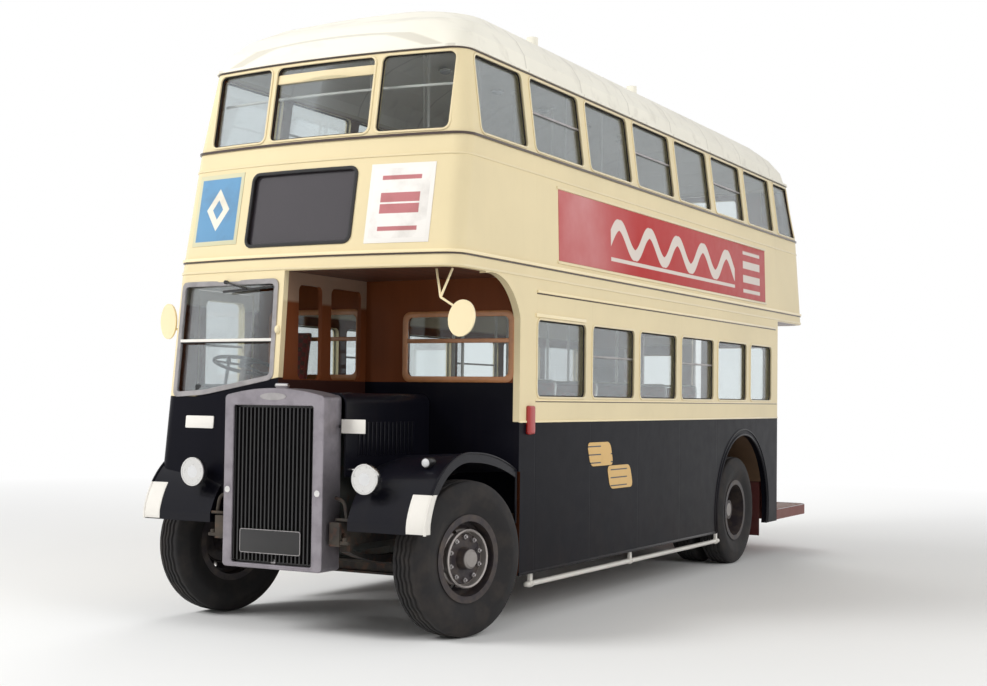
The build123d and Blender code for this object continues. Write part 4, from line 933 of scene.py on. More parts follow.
def reach_of(outline, fixed_axis, value, side):
    """How far an outline reaches along the other axis, where one axis has a value."""
    free = 1 - fixed_axis
    along = [point[fixed_axis] for point in outline]
    value = max(min(along) + 0.001, min(max(along) - 0.001, value))
    found = []
    for a, b in zip(outline, outline[1:] + outline[:1]):
        if (a[fixed_axis] - value) * (b[fixed_axis] - value) <= 0 and a[fixed_axis] != b[fixed_axis]:
            t = (value - a[fixed_axis]) / (b[fixed_axis] - a[fixed_axis])
            found.append(a[free] + (b[free] - a[free]) * t)
    return (max if side > 0 else min)(found)


def upper_skin(fixed_axis, value, height, side):
    """The outer face of the upper walls at a height."""
    pair = (0, 1) if height < SILL_Z else (2, 3)
    low, high = WALL_LEVELS[pair[0]], WALL_LEVELS[pair[1]]
    a = reach_of(WALL_OUTLINES[pair[0]], fixed_axis, value, side)
    b = reach_of(WALL_OUTLINES[pair[1]], fixed_axis, value, side)
    return a + (b - a) * (height - low) / (high - low)


def front_face(x, z, out=0.0):
    """A point on the upper front, moved out from it."""
    return Vector((x, upper_skin(0, x, z, -1) - out, z))


def side_face(y, z, out=0.0, sign=1):
    """A point on a side: the upper wall over the deck, the straight lower wall under it."""
    x = upper_skin(1, y, z, 1) if z > DECK_Z else SIDE_X
    return Vector((sign * (x + out), y, z))


def loose_boxes(node):
    """The lowest and highest corner of each separate solid in a node."""
    mesh = frame["nodes"][node].data
    merged = {}
    parent = []
    index = []
    for vertex in mesh.vertices:
        key = tuple(round(c, 5) for c in vertex.co)
        if key not in merged:
            merged[key] = len(parent)
            parent.append(len(parent))
        index.append(merged[key])

    def root(i):
        while parent[i] != i:
            parent[i] = parent[parent[i]]
            i = parent[i]
        return i

    for edge in mesh.edges:
        a, b = root(index[edge.vertices[0]]), root(index[edge.vertices[1]])
        parent[a] = b
    boxes = {}
    for key, number in merged.items():
        low, high = boxes.setdefault(root(number), ([9.0] * 3, [-9.0] * 3))
        for axis in range(3):
            low[axis] = min(low[axis], key[axis])
            high[axis] = max(high[axis], key[axis])
    return sorted(tuple(map(tuple, pair)) for pair in boxes.values())


# Finishes of this bus, by key

MADE = {}


def make_finishes(scene):
    """Every finish, made once from the bus's colours and sizes."""
    if MADE:
        return
    colours = scene.bus_colours
    MADE.update({
        "cream": gloss_paint("cream_paint", colours.cream, 0.18, 0.5),
        # cream lightened by 1.16 as a painted highlight on the raised strips, beads, frames and fittings that
        # use it
        "cream_bright": gloss_paint("bright_cream_paint", shade(colours.cream, 1.16), 0.12, 0.3),
        "dark": gloss_paint("blue_black_paint", colours.dark, 0.14, 0.6, 0.24, 0.16, 0.12),
        "upper": panel_paint("upper_panels", colours, scene.bus_sizes, "cream"),
        "two_tone": panel_paint("lower_panels", colours, scene.bus_sizes, "two tone"),
        "cab": panel_paint("cab_panels", colours, scene.bus_sizes, "cab"),
        "bulkhead": panel_paint("bulkhead_panels", colours, scene.bus_sizes, "bulkhead"),
        "roof": roof_paint("roof_paint_chalky", colours),
        "silver": dull_metal("radiator_metal", colours.silver),
        "frame_metal": dull_metal("window_metal", srgb(176, 172, 172), 0.3),
        "bright": bright_metal("plated_metal"),
        # dark paint for the real sill strip, and for the thin dark strips that are painted shadow lines under
        # the band strip, rain strip, sill bead and gutter
        "strip_dark": gloss_paint("dark_strip_paint", srgb(58, 42, 38), 0.1, 0.2),
        "varnish": varnished("varnished_timber", colours.varnish),
        "pale_varnish": varnished("pale_varnished_timber", srgb(176, 118, 72)),
        "platform": gloss_paint("platform_paint", colours.platform, 0.5, 0.7, 0.5, 0.1),
        "rubber": rubber("tyre_rubber_dusty", colours.rubber),
        "mud_flap": rubber("flap_rubber", srgb(70, 26, 24)),
        "gasket": rubber("window_rubber", srgb(28, 24, 24)),
        "chassis": underside("chassis_paint", colours.chassis),
        "engine": underside("engine_casting", srgb(84, 88, 86)),
        "exhaust": underside("exhaust_rust", srgb(92, 56, 38)),
        "glass": glazing("window_glass", (0.93, 0.95, 0.95, 1.0), 0.45),
        "dark_glass": gloss_paint("display_glass", srgb(58, 54, 58), 0.1, 0.2, 0.12, 0.3),
        "floor": slatted("floor_slats", colours.timber, scene.bus_sizes.slat_pitch),
        "upper_floor": upper_floor_finish("upper_floor_layers", colours),
        "cloth": cloth("seat_cloth", colours),
        "hide": hide("seat_hide", colours.leather),
        "white": gloss_paint("white_paint_worn", srgb(226, 222, 214), 0.3, 0.6),
        "clear_lens": lens("lamp_glass_clear", srgb(214, 214, 214)),
        "red_lens": lens("lamp_glass_red", colours.marker),
        "marker": gloss_paint("marker_red", colours.marker, 0.2, 0.4),
        "board": side_board("side_board_red", colours),
        "blue_board": front_board("blue_board", srgb(206, 202, 170), colours.blue,
                                  srgb(232, 226, 210), "diamond"),
        "white_board": front_board("white_board", srgb(236, 232, 226), srgb(238, 234, 228),
                                   srgb(188, 120, 122), "lines"),
        "gold": gold_transfer("gold_transfer_film", colours),
        "black": gloss_paint("black_enamel", srgb(22, 21, 22), 0.2, 0.4, 0.35, 0.3),
        "tread_wood": varnished("platform_timber", srgb(120, 84, 56)),
    })


CAD_FINISHES = {
    "roof": ("roof",), "upper": UPPER_WALLS + ("emergency_window",),
    "two_tone": ("lower_side_nearside", "lower_side_offside", "rear_lower_panel", "cab_door"),
    "cab": ("cab_shell",), "bulkhead": ("front_bulkhead", "cab_inner_side"), "varnish": ("rear_bulkhead",),
    "dark": ("bonnet", "front_wings"), "silver": ("radiator_shell",),
    "white": ("guard_rails", "platform_poles"),
    "black": ("radiator_slats", "destination_box", "steering_wheel", "seat_stands"),
    "glass": ("glass_front", "glass_sides", "glass_bulkheads", "cab_door_glass", "emergency_glass"),
    "dark_glass": ("destination_glass",), "engine": ("engine",), "exhaust": ("exhaust",),
    "chassis": ("chassis_frame", "leaf_springs", "front_axle", "rear_axle", "driveline", "fuel_tank",
                "track_rod", "knuckle_nearside", "knuckle_offside"),
    "floor": ("lower_floor", "cab_floor"), "upper_floor": ("upper_floor",),
    # the mirror backs take the cream with the painted highlight
    "platform": ("platform", "staircase"), "mud_flap": ("mud_flaps",), "cream_bright": ("mirrors",),
    "bright": ("headlamps",), "cloth": ("seat_pads",),
    "rubber": ("tyre_front_nearside", "tyre_front_offside", "tyres_rear_nearside", "tyres_rear_offside"),
}


class BUS_OT_paint_frame(bpy.types.Operator):
    """Give every carried-over panel and casting its finish"""
    bl_idname = "bus.paint_frame"
    bl_label = "Paint the bus"

    def execute(self, context):
        make_finishes(context.scene)
        chosen = {node: MADE[key] for key, nodes in CAD_FINISHES.items() for node in nodes}
        for _, side in SIDES:
            for end, wheel in (("front", f"wheel_front_{side}"), ("rear", f"wheels_rear_{side}")):
                chosen[wheel] = wheel_paint(f"{end}_wheel_paint_{side}", JOINTS[f"wheel_spin_{end}_{side}"])
        for name, obj in frame["nodes"].items():
            obj.data.materials.clear()
            obj.data.materials.append(chosen[name])
        return {"FINISHED"}


# Pieces

class BUS_OT_make_mouldings(bpy.types.Operator):
    """Strips, beads and the gutter round the body; the bright strips carry a painted highlight and thin dark
    strips under them are painted shadow lines
    """
    bl_idname = "bus.make_mouldings"
    bl_label = "Mouldings"

    def execute(self, context):
        make_finishes(context.scene)
        sizes = context.scene.bus_sizes
        # band_shadow and gutter_shadow are dark strips put in as painted shadow lines under the band strip
        # and the gutter; the band strip's bright cream is a painted highlight
        for height, tall, proud, key, name in (
                (sizes.rail - 0.008, 0.015, 0.012, "strip_dark", "sill_strip"),
                (sizes.bead, 0.014, 0.006, "cream", "upper_bead"),
                (sizes.band, 0.022, 0.015, "cream_bright", "band_strip"),
                (sizes.band - 0.011, 0.010, 0.008, "strip_dark", "band_shadow"),
                (DECK_Z + 0.006, 0.016, 0.006, "cream", "deck_bead"),
                (GUTTER_Z - 0.012, 0.018, 0.018, "roof", "gutter"),
                (GUTTER_Z - 0.022, 0.009, 0.006, "strip_dark", "gutter_shadow")):
            points = [(x, y, height) for x, y in cross_section(UPPER_WALLS, height)]
            dress(band(points, tall, 2 * proud), name, key)
        for sign, side in SIDES:
            front, end = BULKHEAD_Y + (0.245 if sign > 0 else 0.1), SALOON_END - 0.075
            sill_front, sill_end = BULKHEAD_Y + 0.24, SALOON_END - 0.02
            skirt_front, skirt_end = BULKHEAD_Y + 0.02, REAR_AXLE_Y - 0.74
            # rain_shadow and sill_shadow are dark strips put in as painted shadow lines under the rain strip
            # and the sill bead; the bright cream strips and beads carry a painted highlight
            for y0, y1, z, tall, proud, key, name in (
                    (front, end, sizes.rain, 0.018, 0.013, "cream_bright", "rain_strip"),
                    (front, end, sizes.rain - 0.009, 0.008, 0.006, "strip_dark", "rain_shadow"),
                    (BULKHEAD_Y, SALOON_END, sizes.waist - 0.006, 0.014, 0.007, "cream_bright", "waist_bead"),
                    (sill_front, sill_end, 1.532, 0.010, 0.006, "cream_bright", "sill_bead"),
                    (sill_front, sill_end, 1.524, 0.006, 0.003, "strip_dark", "sill_shadow"),
                    (skirt_front, skirt_end, SKIRT_Z + 0.002, 0.02, 0.004, "dark", "skirt_rail")):
                strip = block((SIDE_X - 0.01, y0, z), (SIDE_X + proud, y1, z + tall))
                dress(on_side(strip, sign), f"{name}_{side}", key)
        return {"FINISHED"}


# Where the rearmost upper window ends at its foot, and how far it leans forward for each metre up
QUARTER_END = 3.60
QUARTER_RAKE = 0.19


def raked(points, y0, y1, z0):
    """The rearmost upper window leans forward at its back edge, as the corner does."""
    if y1 < QUARTER_END:
        return points
    return [(y - QUARTER_RAKE * (z - z0) * max(0.0, (y - y0) / (y1 - y0)), z) for y, z in points]


def side_ring(pane, width, lap, depth, sign, radius=0.045):
    """The flat surface round a side window, from a lap outside it to a width inside it."""
    y0, y1, z0, z1 = pane
    outer = filled(rounded(y0 - lap, y1 + lap, z0 - lap, z1 + lap, radius + lap), 4)
    inner = filled(rounded(y0 + width, y1 - width, z0 + width, z1 - width, max(radius - width, 0.012)), 4)
    outer, inner = (raked(points, y0, y1, z0) for points in (outer, inner))
    return ring([side_face(y, z, depth, sign) for y, z in outer],
                [side_face(y, z, depth, sign) for y, z in inner])


class BUS_OT_make_side_windows(bpy.types.Operator):
    """Frames, rubbers and half-drop bars of the side windows"""
    bl_idname = "bus.make_side_windows"
    bl_label = "Side windows"

    def execute(self, context):
        make_finishes(context.scene)
        sizes = context.scene.bus_sizes
        for sign, side in SIDES:
            panes = [(low[1], high[1], low[2], high[2])
                     for low, high in loose_boxes("glass_sides") if low[0] * sign > 0]
            frames, rubbers, bars = [], [], []
            for y0, y1, z0, z1 in panes:
                pane = (y0, min(y1, QUARTER_END), z0, z1)
                frame_piece = side_ring(pane, 0.004, 0.012, 0, sign)
                frames.append(thicken(frame_piece, 2 * sizes.frame_proud, sizes.frame_proud * 0.6))
                rubbers.append(thicken(side_ring(pane, 0.012, 0.001, -0.016, sign), 0.008, 0.002))
            saloon = sorted(p for p in panes
                            if p[0] > FIRST_PILLAR and 0.6 < p[1] - p[0] < 1.0 and p[1] < SALOON_END)
            for upstairs, first, share in ((False, 1, 0.56), (True, 0, 0.52)):
                row = [p for p in saloon if (p[2] > DECK_Z) == upstairs]
                for y0, y1, z0, z1 in row[first:5:2]:
                    bars.append(self.bar(y0, y1, z0 + (z1 - z0) * share, sign))
            dress(merge(frames), f"window_frames_{side}", "cream")
            dress(self.corner_panel(sign), f"rear_corner_panel_{side}", "upper")
            dress(merge(rubbers), f"window_rubbers_{side}", "gasket")
            dress(merge(bars), f"window_bars_{side}", "frame_metal")
        return {"FINISHED"}

    def corner_panel(self, sign):
        """The curved panel behind the rearmost upper window, round to the flap."""
        low, high = 3.276, 3.836
        edge_x, bend, clear = 0.62, 0.08, 0.004
        clear_selection()
        bpy.ops.mesh.primitive_grid_add(x_subdivisions=20, y_subdivisions=10, size=1.0,
                                        location=(0.5, 0.5, 0.0))

        def place(p):
            z = low + (high - low) * p.y
            edge_y = QUARTER_END + 0.001 - QUARTER_RAKE * (z - low)
            turn_y = upper_skin(0, 0.0, z, 1) - bend
            if p.x <= 0.5:
                y = edge_y + (turn_y - edge_y) * 2 * p.x
                return Vector((sign * (upper_skin(1, y, z, 1) - clear), y, z))
            turn_x = upper_skin(1, turn_y, z, 1)
            x = turn_x + (edge_x - turn_x) * (2 * p.x - 1)
            return Vector((sign * x, upper_skin(0, x, z, 1) - clear, z))

        return thicken(bend_mesh(settle(), place), 0.012, 0.001)

    def bar(self, y0, y1, z, sign):
        """The bar between the fixed and the dropping pane."""
        low = side_face(y0, z, -0.030, 1)
        return on_side(block((low.x, y0, z), (low.x + 0.018, y1, z + 0.016), 0.003), sign)


def front_ring(x0, x1, z0, z1, width, lap, proud, radius=0.045, out=0.0):
    """A window frame on the raked front."""
    outer = filled(rounded(x0 - lap, x1 + lap, z0 - lap, z1 + lap, radius + lap, 5), 5)
    inner = filled(rounded(x0 + width, x1 - width, z0 + width, z1 - width, max(radius - width, 0.01), 5), 5)
    obj = ring([front_face(x, z, out) for x, z in outer], [front_face(x, z, out) for x, z in inner])
    return thicken(obj, 2 * proud, proud * 0.6)


DISPLAY = (-0.495, 0.365, 2.555, 3.062)


class BUS_OT_make_front(bpy.types.Operator):
    """Frames and boards on the front of the upper deck"""
    bl_idname = "bus.make_front"
    bl_label = "Upper front"

    def execute(self, context):
        make_finishes(context.scene)
        sizes = context.scene.bus_sizes
        panes = [front_sides(low, high) for low, high in loose_boxes("glass_front") if low[2] > DECK_Z]
        frames = [front_ring(x0, x1, z0, z1, 0.004, 0.012, sizes.frame_proud) for x0, x1, z0, z1 in panes]
        rubbers = [front_ring(x0, x1, z0, z1, 0.012, 0.001, 0.004, out=-0.016) for x0, x1, z0, z1 in panes]
        dress(merge(frames), "front_window_frames", "cream")
        dress(merge(rubbers), "front_window_rubbers", "gasket")
        centre = sorted(panes)[1]
        dress(self.across(centre[0], centre[1], 3.70, 3.765, 0.02), "front_vent_bar", "cream")
        dress(front_ring(*DISPLAY, 0.014, 0.010, 0.010, 0.05), "display_surround", "black")
        for name, box in BOARDS.items():
            outline = [front_face(x, z) for x, z in stepped(*box, 6)]
            dress(thicken(plate(outline), 0.008, 0.001), name, name)
        rail_z, pitch, points = 3.62, 0.14, 15
        along = [-0.98 + pitch * i for i in range(points)]
        rail = tube([(x, upper_skin(0, x, rail_z, -1) + 0.12, rail_z) for x in along], 0.010)
        dress(rail, "front_grab_rail", "white")
        return {"FINISHED"}

    def across(self, x0, x1, z0, z1, depth):
        """A bar across an opening, on the raked front."""
        return thicken(plate([front_face(x, z, -0.02) for x, z in stepped(x0, x1, z0, z1, 8)]), depth, 0.003)


class BUS_OT_make_side_boards(bpy.types.Operator):
    """The red side board, the gold transfer and the marker"""
    bl_idname = "bus.make_side_boards"
    bl_label = "Side boards"

    def execute(self, context):
        make_finishes(context.scene)
        for sign, side in SIDES:
            outline = [(-2.165, 2.545), (2.53, 2.545), (2.53, 3.06), (-2.165, 3.06)]
            board = thicken(plate([side_face(y, z, 0, sign) for y, z in outline]), 0.008, 0.001)
            dress(board, f"side_board_{side}", "board")
            edges = [block((SIDE_X - 0.03, -2.19, z), (SIDE_X, 2.555, z + 0.02)) for z in (2.522, 3.063)]
            for edge in edges:
                bend_mesh(edge, lambda p: side_face(p.y, p.z, p.x - SIDE_X + 0.009, 1))
            dress(on_side(merge(edges), sign), f"side_board_rails_{side}", "cream")
            dress(self.device(sign), f"gold_device_{side}", "gold")
        marker = block((SIDE_X - 0.01, -2.66, 1.30), (SIDE_X + 0.028, -2.56, 1.50), 0.018, 4)
        dress(marker, "corner_marker", "marker")
        return {"FINISHED"}

    def device(self, sign):
        """Two plain overlapping panels with rounded corners, in gold."""
        parts = []
        for y0, z0, y1, z1 in ((-1.60, 1.045, -1.18, 1.225), (-1.30, 0.860, -0.86, 1.040)):
            points = [(y + (z - 1.04) * -0.35, z) for y, z in rounded(y0, y1, z0, z1, 0.05)]
            parts.append(thicken(plate([side_face(y, z, 0, sign) for y, z in points]), 0.004))
        return merge(parts)


class BUS_OT_make_radiator(bpy.types.Operator):
    """Radiator trim, cap, knobs, blank badge and plates"""
    bl_idname = "bus.make_radiator"
    bl_label = "Radiator"

    def execute(self, context):
        make_finishes(context.scene)
        low, high = GRILLE
        edge = rounded(low.x, high.x, low.z, high.z, 0.024, 5)
        bead = tube([(x, FRONT_Y + 0.007, z) for x, z in edge], 0.010, closed=True)
        dress(bead, "grille_bead", "silver")
        knob_x, knob_z = 0.358, 0.93
        for name, proud, depth, radius, key in (("radiator_knobs", 0.004, 0.010, 0.022, "bright"),
                                                ("radiator_lugs", 0.002, 0.012, 0.030, "silver")):
            pair = [rod((x, FRONT_Y + depth, knob_z), (x, FRONT_Y - proud, knob_z), radius, 24, 0.003)
                    for x in (-knob_x, knob_x)]
            dress(merge(pair), name, key)
        outline = [(0, 0.001), (0, 0.046), (0.010, 0.050), (0.022, 0.046), (0.024, 0.020), (0.024, 0.001)]
        cap = turned(outline, 24)
        upright = Matrix.Rotation(math.radians(-90), 4, "Y")
        cap.data.transform(shift(0, FRONT_Y + 0.095, RADIATOR[1].z - 0.026) @ upright)
        dress(cap, "filler_cap", "bright")
        badge = thicken(plate([(0.105 * math.cos(a), FRONT_Y, 1.540 + 0.024 * math.sin(a))
                               for a in [math.radians(12 * i) for i in range(30)]]), 0.007, 0.002)
        dress(badge, "blank_badge", "frame_metal")
        plate_back = block((-0.25, FRONT_Y + 0.002, 0.53), (0.23, FRONT_Y + 0.018, 0.68), 0.006)
        dress(plate_back, "blank_registration_plate", "black")
        outline = rounded(-0.25, 0.23, 0.53, 0.68, 0.012, 2)
        rim = tube([(x, FRONT_Y + 0.003, z) for x, z in outline], 0.003, True)
        dress(rim, "registration_plate_rim", "frame_metal")
        return {"FINISHED"}


def treaded_tyre(sizes, centre_x, half, bead_radius):
    """A tyre about the X direction, with zigzag ribs and a ridge near each bead."""
    tread, ribs, depth = half * 0.76, sizes.tread_ribs, sizes.tread_depth
    wall = [(share * half, bead_radius + rise) for share, rise in (
        (-0.72, 0), (-0.72, 0.026), (-0.80, 0.05), (-0.90, 0.085), (-0.985, 0.12), (-0.985, 0.128),
        (-1.0, 0.136), (-0.985, 0.150))]
    shoulders = ((-0.93, 0.062), (-0.86, 0.034), (-0.80, 0.016))
    wall += [(share * half, TYRE_R - drop) for share, drop in shoulders]
    profile = wall + [(-tread, TYRE_R - 0.010)]
    step = 2 * tread / ribs
    groove, shoulder = 0.011, 0.006
    for number in range(ribs):
        left = -tread + step * number
        right = left + step
        crown = TYRE_R - 0.010 * abs((left + right) / 2 / tread) ** 2
        last = number == ribs - 1
        profile.append((left + (groove if number else shoulder), crown))
        profile.append((right - (shoulder if last else groove), crown))
        if not last:
            profile += [(right - groove * 0.5, crown - depth), (right + groove * 0.5, crown - depth)]
    profile += [(-across, radius) for across, radius in profile[:len(wall) + 1][::-1]]
    steps = 120
    tyre = turned(profile, steps)

    def zigzag(co):
        radius = math.hypot(co.y, co.z)
        if radius < TYRE_R - 0.026 or abs(co.x) > tread - 0.012:
            return co
        turn = round(math.atan2(co.z, co.y) / (2 * math.pi) * steps)
        wave = (0, 1, 0, -1)[turn % 4]
        return Vector((co.x + 0.005 * wave, co.y, co.z))

    bend_mesh(tyre, zigzag)
    tyre.data.transform(shift(centre_x, 0, TYRE_R))
    return tyre


def steered(sign):
    """The turn of a front wheel about its kingpin, at rest."""
    pin = Vector((sign * KINGPIN.x, KINGPIN.y, 0))
    return shift(*pin) @ Matrix.Rotation(STEER, 4, "Z") @ shift(*-pin)


class BUS_OT_make_tyres(bpy.types.Operator):
    """Treaded tyres and wheel nuts"""
    bl_idname = "bus.make_tyres"
    bl_label = "Tyres"

    def execute(self, context):
        make_finishes(context.scene)
        sizes = context.scene.bus_sizes
        low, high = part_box("tyres_rear_nearside")
        rear = [(a[0] + b[0]) / 2 for a, b in loose_boxes("tyres_rear_nearside")]
        half = (high.x - low.x - (max(rear) - min(rear))) / 2
        bead = 0.266
        front_x = KINGPIN.x + (Vector(FRONT_SPIN["pos_m"]) - KINGPIN).xy.length
        for sign, side in SIDES:
            front_place, rear_place = steered(sign) @ shift(0, KINGPIN.y, 0), shift(0, REAR_AXLE_Y, 0)
            tyre = treaded_tyre(sizes, sign * front_x, half, bead)
            tyre.data.transform(front_place)
            tyre = dress(tyre, f"front_tyre_{side}", "rubber", f"front_wheel_{side}")
            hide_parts(f"tyre_front_{side}")
            pair = [treaded_tyre(sizes, sign * x, half, bead) for x in rear]
            for one in pair:
                one.data.transform(rear_place)
            tyres = dress(merge(pair), f"rear_tyres_{side}", "rubber", f"rear_wheels_{side}")
            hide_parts(f"tyres_rear_{side}")
            for end, wheel, place, circle, x in (
                    ("front", "front_wheel", front_place, 0.140, front_x + 0.050),
                    ("rear", "rear_wheels", rear_place, 0.125, (max(rear) + min(rear)) / 2 + 0.012)):
                nuts = copied(self.nuts(sizes, circle, x), [place @ facing(sign)])
                dress(nuts, f"{end}_wheel_nuts_{side}", "frame_metal", f"{wheel}_{side}")
        return {"FINISHED"}

    def nuts(self, sizes, circle, x):
        """A ring of six-sided nuts with their studs."""
        nut = rod((0, 0, 0), (0.020, 0, 0), 0.017, 6, 0.002)
        stud = rod((0, 0, 0), (0.032, 0, 0), 0.009, 10, 0.001)
        one = merge([nut, stud])
        count = sizes.wheel_nuts
        return copied(one, [shift(x, 0, TYRE_R) @ Matrix.Rotation(2 * math.pi * i / count, 4, "X")
                            @ shift(0, 0, circle) for i in range(count)])


class BUS_OT_make_lamps(bpy.types.Operator):
    """Headlamp glasses and rims, and side lamps"""
    bl_idname = "bus.make_lamps"
    bl_label = "Lamps"

    def execute(self, context):
        make_finishes(context.scene)
        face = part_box("headlamps")[0].y
        for sign, side in SIDES:
            centre = Vector((sign * 0.689, face, 1.031))
            angles = [2 * math.pi * i / 40 for i in range(40)]
            rim = tube([centre + Vector((0.090 * math.cos(a), 0.004, 0.090 * math.sin(a))) for a in angles],
                       0.008, closed=True)
            dress(rim, f"headlamp_rim_{side}", "bright")
            front = ball(centre + Vector((0, 0.014, 0)), (0.086, 0.016, 0.086), 32, 16)
            dress(front, f"headlamp_glass_{side}", "clear_lens")
            x, y, z = sign * 0.985, FRONT_Y + 0.28, 1.135
            body = rod((x, y + 0.08, z), (x, y, z), 0.034, 24, 0.008)
            dress(body, f"side_lamp_{side}", "black")
            lens_piece = ball((x, y, z), (0.028, 0.012, 0.028), 20, 10)
            dress(lens_piece, f"side_lamp_glass_{side}", "clear_lens")
        return {"FINISHED"}


def cushion(low, high, crown):
    """A crowned pad with sides that pull in between its corners."""
    low, high = Vector(low), Vector(high)
    cuts, pull = 8, 0.02
    clear_selection()
    bpy.ops.mesh.primitive_cube_add(size=1.0, location=(low + high) / 2)
    bpy.context.object.scale = high - low
    obj = settle()
    edit(obj, (bpy.ops.mesh.subdivide, {"number_cuts": cuts, "quadcorner": "INNERVERT"}))
    middle, half = (low + high) / 2, (high - low) / 2

    def puff(co):
        u, v, w = ((co[i] - middle[i]) / half[i] for i in range(3))
        lift = max(0.0, 1 - u**4) * max(0.0, 1 - v**4)
        out = Vector(co)
        if w > 0:
            out.z += crown * lift * w - crown
        for axis, share in ((0, u), (1, v)):
            other = v if axis == 0 else u
            out[axis] = middle[axis] + (co[axis] - middle[axis]) * (1 - pull * (1 - other**2) * abs(share))
        return out

    bend_mesh(obj, puff)
    modify(obj, "BEVEL", width=0.018, segments=3, limit_method="ANGLE", angle_limit=math.radians(50))
    return obj


def plumped(pad, cap=0.014):
    """The pad swollen by a short cloth simulation, no point moved further than the cap."""
    frames = 20
    modify(pad, "REMESH", mode="VOXEL", voxel_size=0.020)
    start = [vertex.co.copy() for vertex in pad.data.vertices]
    bpy.ops.object.modifier_add(type="CLOTH")
    modifier = pad.modifiers[-1]
    modifier.settings.quality = 6
    modifier.settings.use_pressure = True
    modifier.settings.uniform_pressure_force = 4.0
    modifier.settings.effector_weights.gravity = 0.0
    modifier.point_cache.frame_end = frames
    for number in range(1, frames + 1):
        bpy.context.scene.frame_set(number)
    bpy.ops.object.modifier_apply(modifier=modifier.name)
    bpy.context.scene.frame_set(1)
    for vertex, place in zip(pad.data.vertices, start):
        move = vertex.co - place
        if move.length > cap:
            vertex.co = place + move * (cap / move.length)
    return pad


def piping(low, high, inset):
    """A sewn edge round the top of a cushion."""
    outline = rounded(low[0] + inset, high[0] - inset, low[1] + inset, high[1] - inset, 0.03, 2)
    return tube([(x, y, high[2] - inset) for x, y in outline], 0.006, closed=True, resolution=1)


def bench_boxes():
    """The boxes of the benches that stand across the bus, and of all the other seat pads."""
    def is_bench(low, high):
        return 0.3 < high[1] - low[1] < 0.6 and high[0] - low[0] > 0.6

    pads = loose_boxes("seat_pads")
    return [box for box in pads if is_bench(*box)], [box for box in pads if not is_bench(*box)]


class BUS_OT_make_seats(bpy.types.Operator):
    """Padded benches with piping, and their top rails"""
    bl_idname = "bus.make_seats"
    bl_label = "Seats"

    def execute(self, context):
        make_finishes(context.scene)
        benches, others = bench_boxes()
        decks = {"lower": [], "upper": []}
        first = Vector(benches[0][0])
        for low, high in benches:
            decks["upper" if low[2] > DECK_Z else "lower"].append(shift(*(Vector(low) - first)))
        one_bench = (*self.bench(*benches[0]), self.rails(benches[0]))
        for name, key, piece in zip(("pads", "piping", "rails"), ("cloth", "hide", "bright"), one_bench):
            twin = piece.copy()
            twin.data = piece.data.copy()
            bpy.context.collection.objects.link(twin)
            for deck, one in (("lower", piece), ("upper", twin)):
                row = dress(copied(one, decks[deck]), f"bench_{name}_{deck}", key)
                if name == "pads":
                    if deck == "lower":
                        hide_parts("seat_pads")
        made = [self.loose_pad(low, high) for low, high in others]
        dress(merge(p for p, _ in made), "other_pads", "cloth")
        dress(merge(edge for _, edge in made), "other_piping", "hide")
        return {"FINISHED"}

    def bench(self, low, high):
        """The pads and the piping of one bench, in the hollow of its profile."""
        low, high = Vector(low), Vector(high)
        corner = (low.x + 0.012, low.y + 0.010, low.z + 0.008)
        end = (high.x - 0.012, low.y + 0.340, low.z + 0.092)
        seat = plumped(cushion(corner, end, 0.014))
        edge = piping(corner, end, 0.010)
        x0, x1, back_y, back_z = low.x + 0.012, high.x - 0.012, -0.052, high.z - low.z - 0.105
        back = plumped(cushion((x0, back_y, 0.0), (x1, -0.004, back_z), 0.0), cap=0.010)
        outline = rounded(x0 + 0.02, x1 - 0.02, 0.03, back_z - 0.02, 0.03, 2)
        line = tube([(x, back_y + 0.004, z) for x, z in outline], 0.006, True, 1)
        lean = Matrix.Rotation(math.radians(-8.5), 4, "X")
        for piece in (back, line):
            piece.data.transform(shift(0, low.y + 0.392, low.z + 0.090) @ lean)
        return merge([seat, back]), merge([edge, line])

    def rails(self, box):
        """The hand rail over the back of one bench."""
        low, high = Vector(box[0]), Vector(box[1])
        y, z = high.y - 0.028, high.z - 0.010
        left, right = low.x + 0.02, high.x - 0.02
        path = [(left, y - 0.05, z - 0.35), (left, y, z), (right, y, z), (right, y - 0.05, z - 0.35)]
        return tube(bent(path, 0.05), 0.010)

    def loose_pad(self, low, high):
        """The pads and piping of the driver's seat, or of a bench along the side."""
        if high[1] - low[1] < 1.0:
            return self.bench(low, high)
        low, high = Vector(low), Vector(high)
        edge, wall = (low.x, high.x) if low.x > 0 else (high.x, low.x)
        x0, x1 = sorted((edge, edge + (wall - edge) * 0.74))
        corner, end = (x0 + 0.006, low.y + 0.012, low.z + 0.008), (x1 - 0.006, high.y - 0.012, low.z + 0.090)
        seat = plumped(cushion(corner, end, 0.012))
        b0, b1 = sorted((edge + (wall - edge) * 0.82, wall))
        back = cushion((b0, low.y + 0.012, low.z + 0.110), (b1, high.y - 0.012, high.z - 0.010), 0.006)
        back = plumped(back, cap=0.008)
        return merge([seat, back]), piping(corner, end, 0.010)


# Heights at which the cab's raked front is measured
CAB_LEVELS = (1.45, 2.345)


